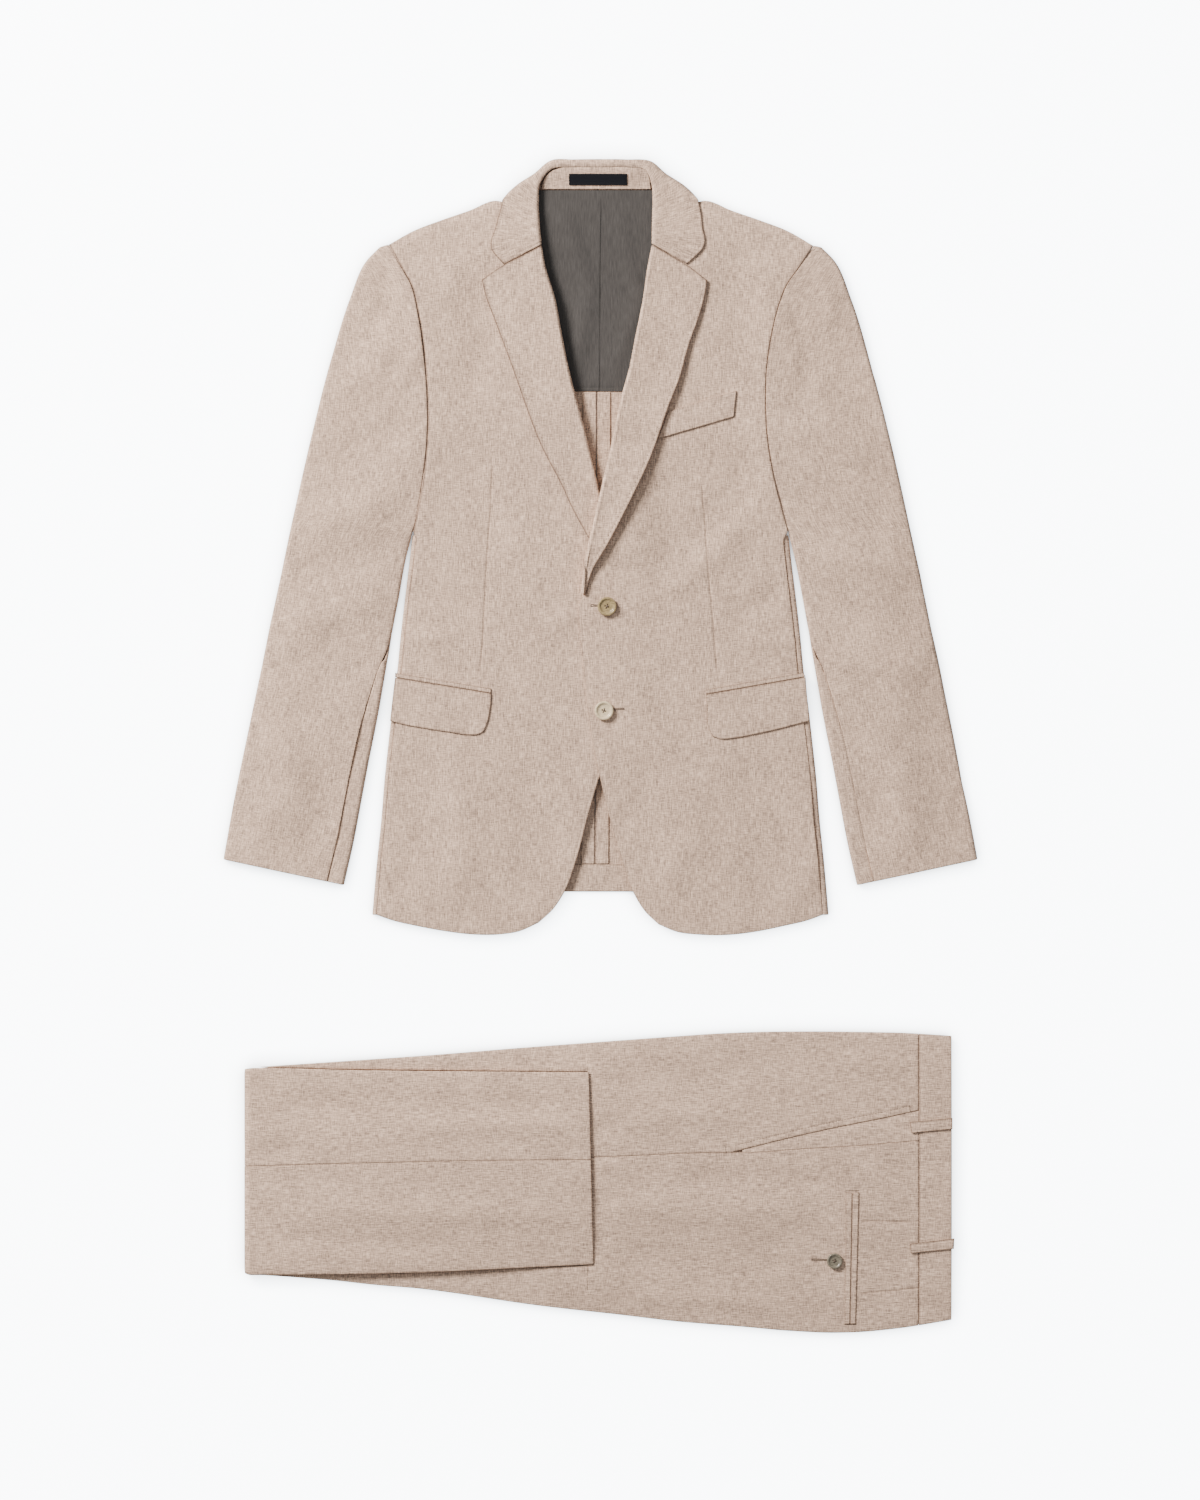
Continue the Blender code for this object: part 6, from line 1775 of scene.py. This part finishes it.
class Recipe:
    """A finish being put together from nodes."""

    def __init__(self, name: str, roughness: float, specular: float) -> None:
        """Start with a plain shader of that roughness and mirror share."""
        self.material = bpy.data.materials.new(name)
        self.material.use_nodes = True
        self.tree = self.material.node_tree
        self.shader = self.tree.nodes["Principled BSDF"]
        self.shader.inputs["Roughness"].default_value = roughness
        self.shader.inputs["Specular IOR Level"].default_value = specular

    def node(self, kind: str, values: dict[str | int, object] | None = None, **settings: object) -> bpy.types.Node:
        """A new node with its settings and its inputs' values."""
        made = self.tree.nodes.new(kind)
        for key, value in settings.items():
            setattr(made, key, value)
        for key, value in (values or {}).items():
            made.inputs[key].default_value = value
        return made

    def link(self, source: bpy.types.Node, output: str, target: bpy.types.Node, entry: str | int) -> None:
        """Join an output to an input."""
        self.tree.links.new(source.outputs[output], target.inputs[entry])

    @staticmethod
    def number_of(node: bpy.types.Node) -> str:
        """The name of the output where a node gives its number."""
        return "Value" if "Value" in node.outputs else "Fac"

    def coordinates(self, woven: bool) -> tuple[bpy.types.Node, str]:
        """Where the finish is read: on the cloth's own grain, or in the object."""
        if woven:
            return self.node("ShaderNodeUVMap", uv_map="grain"), "UV"
        return self.node("ShaderNodeTexCoord"), "Object"

    def streaks(self, start: tuple[bpy.types.Node, str], across: float, along: float,
                detail: float = 2.0) -> bpy.types.Node:
        """Noise stretched to streaks of that size, in metres."""
        stretch = self.node("ShaderNodeMapping", {"Scale": (1 / across, 1 / along, 1 / across)})
        noise = self.node("ShaderNodeTexNoise", {"Scale": 1.0, "Detail": detail, "Roughness": 0.6})
        self.link(start[0], start[1], stretch, "Vector")
        self.link(stretch, "Vector", noise, "Vector")
        return noise

    def weighed(self, parts: list[tuple[bpy.types.Node, float]]) -> bpy.types.Node:
        """The sum of several noises, each less its middle and times its weight, about one half."""
        total = None
        for noise, weight in parts:
            term = self.node("ShaderNodeMath", {1: weight, 2: -0.5 * weight + (0.5 if total is None else 0.0)},
                             operation="MULTIPLY_ADD")
            self.link(noise, self.number_of(noise), term, 0)
            if total is None:
                total = term
            else:
                both = self.node("ShaderNodeMath", operation="ADD")
                self.link(total, "Value", both, 0)
                self.link(term, "Value", both, 1)
                total = both
        return total

    def colours(self, value: bpy.types.Node, stops: list[tuple[float, Colour]]) -> None:
        """Colour the shader by a value through stops."""
        ramp = self.node("ShaderNodeValToRGB")
        while len(ramp.color_ramp.elements) < len(stops):
            ramp.color_ramp.elements.new(0.5)
        for element, (place, colour) in zip(ramp.color_ramp.elements, stops):
            element.position = place
            element.color = (*colour, 1.0)
        self.link(value, self.number_of(value), ramp, "Fac")
        self.link(ramp, "Color", self.shader, "Base Color")

    def darken_pressed(self, shade: Colour) -> None:
        """Darken the colour towards a shade of itself along edges and sewn lines: painted shade for the shadow in their
        crevices.
        """
        pressed = self.node("ShaderNodeAttribute", attribute_name="pressed")
        mix = self.node("ShaderNodeMix", data_type="RGBA", blend_type="MULTIPLY")
        colour = self.shader.inputs["Base Color"].links[0].from_node
        mix.inputs[7].default_value = (*shade, 1.0)
        self.link(pressed, "Fac", mix, 0)
        self.link(colour, "Color", mix, 6)
        self.tree.links.new(mix.outputs[2], self.shader.inputs["Base Color"])

    def bumps(self, parts: list[tuple[bpy.types.Node, float]]) -> None:
        """Raise the surface by values, each by its height in metres."""
        last = None
        for value, height in parts:
            bump = self.node("ShaderNodeBump", {"Strength": 1.0, "Distance": height})
            self.link(value, self.number_of(value), bump, "Height")
            if last:
                self.link(last, "Normal", bump, "Normal")
            last = bump
        self.link(last, "Normal", self.shader, "Normal")


def suiting_finish(look: SuitingLook) -> bpy.types.Material:
    """Linen-like suiting: fine warp and weft streaks, longer slubs, a faint crinkle, and shade painted along edges and
    sewn lines.
    """
    recipe = Recipe("suiting_weave", look.roughness, look.specular)
    start = recipe.coordinates(True)
    warp = recipe.streaks(start, look.thread, look.run)
    weft = recipe.streaks(start, look.cross_run, look.thread)
    slub = recipe.streaks(start, look.slub, look.slub_run, 1.0)
    cross_slub = recipe.streaks(start, look.cross_slub_run, look.thread, 1.0)
    cloud = recipe.streaks(start, *look.cloud, 3.0)
    crinkle = recipe.streaks(start, *look.crinkle)
    weave = recipe.weighed(list(zip((warp, weft, slub, cross_slub, cloud), look.weights)))
    recipe.colours(weave, [(0.25, look.dark), (0.50, look.middle), (0.75, look.light)])
    recipe.bumps([(weave, look.weave_height), (crinkle, look.crinkle_height)])
    recipe.darken_pressed(look.pressed)
    recipe.shader.inputs["Sheen Weight"].default_value = look.sheen
    recipe.shader.inputs["Sheen Roughness"].default_value = look.sheen_roughness
    return recipe.material


def plain_finish(name: str, look: PlainLook) -> bpy.types.Material:
    """A finish of one colour with its mottle, and its bump if it is woven."""
    recipe = Recipe(name, look.roughness, look.specular)
    start = recipe.coordinates(look.woven and name != "floor")
    mottle = recipe.streaks(start, look.size[0], look.size[1])
    value = recipe.weighed([(mottle, 1.0)])
    low = tuple(part * (1 - look.mottle) for part in look.colour)
    high = tuple(min(part * (1 + look.mottle), 1.0) for part in look.colour)
    recipe.colours(value, [(0.3, low), (0.5, look.colour), (0.7, high)])
    if look.bump:
        recipe.bumps([(value, look.bump)])
    recipe.shader.inputs["Coat Weight"].default_value = look.coat
    recipe.shader.inputs["Sheen Weight"].default_value = look.sheen
    if look.glow:
        recipe.shader.inputs["Emission Color"].default_value = (*look.glow_colour, 1.0)
        # The floor's glow is dimmed where things lie close by: a contact shadow painted into the glow
        open_air = recipe.node("ShaderNodeAmbientOcclusion", {"Distance": look.shade_reach})
        deeper = recipe.node("ShaderNodeMath", {1: look.shade_power}, operation="POWER")
        glow = recipe.node("ShaderNodeMath", {1: look.glow}, operation="MULTIPLY")
        recipe.link(open_air, "AO", deeper, 0)
        recipe.link(deeper, "Value", glow, 0)
        recipe.link(glow, "Value", recipe.shader, "Emission Strength")
    return recipe.material


@dataclass
class Studio:
    """A pale floor, a large soft light from the upper left, a bright room, and a camera straight above."""

    floor_size: float = 60.0
    floor_drop: float = 0.0002
    lens: float = 100.0
    sensor: float = 36.0
    picture_height: float = 1.5
    aim: Pair = (-0.0005, -0.004)
    key_place: tuple[float, float, float] = (-2.8, 2.4, 2.5)
    key_size: float = 1.4
    key_power: float = 500.0
    key_colour: Colour = (1.0, 0.885, 0.79)
    room: float = 0.44
    room_colour: Colour = (1.0, 0.94, 0.90)

    def build(self, finishes: dict[str, bpy.types.Material]) -> None:
        """Set up floor, light and camera."""
        half = self.floor_size / 2
        mesh = bpy.data.meshes.new("floor")
        mesh.from_pydata([(x, y, -self.floor_drop) for x, y in ((-half, -half), (half, -half), (half, half),
                                                                (-half, half))], [], [(0, 1, 2, 3)])
        mesh.materials.append(finishes["floor"])
        floor = placed("floor", mesh)
        floor.visible_diffuse = floor.visible_glossy = False
        lamp = bpy.data.lights.new("window", "AREA")
        lamp.size, lamp.energy, lamp.color = self.key_size, self.key_power, self.key_colour
        window = placed("window", lamp)
        window.location = self.key_place
        window.rotation_euler = (-Vector(self.key_place)).to_track_quat("-Z", "Y").to_euler()
        world = bpy.data.worlds.new("room")
        world.use_nodes = True
        world.node_tree.nodes["Background"].inputs["Color"].default_value = (*self.room_colour, 1.0)
        world.node_tree.nodes["Background"].inputs["Strength"].default_value = self.room
        bpy.context.scene.world = world
        camera = bpy.data.cameras.new("camera")
        camera.lens, camera.sensor_width = self.lens, self.sensor
        stand = placed("camera", camera)
        stand.location = (*self.aim, self.lens / self.sensor * self.picture_height)
        bpy.context.scene.camera = stand


def main() -> None:
    """Build the suit, piece by piece, then the studio."""
    logging.basicConfig(level=logging.INFO, format="%(message)s")
    finishes = {name: plain_finish(name, look) for name, look in PLAIN_LOOKS.items()}
    finishes["suiting"] = suiting_finish(SuitingLook())
    room = Workroom(finishes)
    for part in (Back(), NeckInside(), Fronts(), SidePanels(), Sleeves(), Lapels(), Collar(), JacketPockets(),
                 TrouserLegs(), FoldedLayers(), Waistband(), BackPocket(), Buttons(), Stitching()):
        part.build(room)
    Studio().build(finishes)
    log.info("%d pieces", len(room.made))


if __name__ == "__main__":
    main()
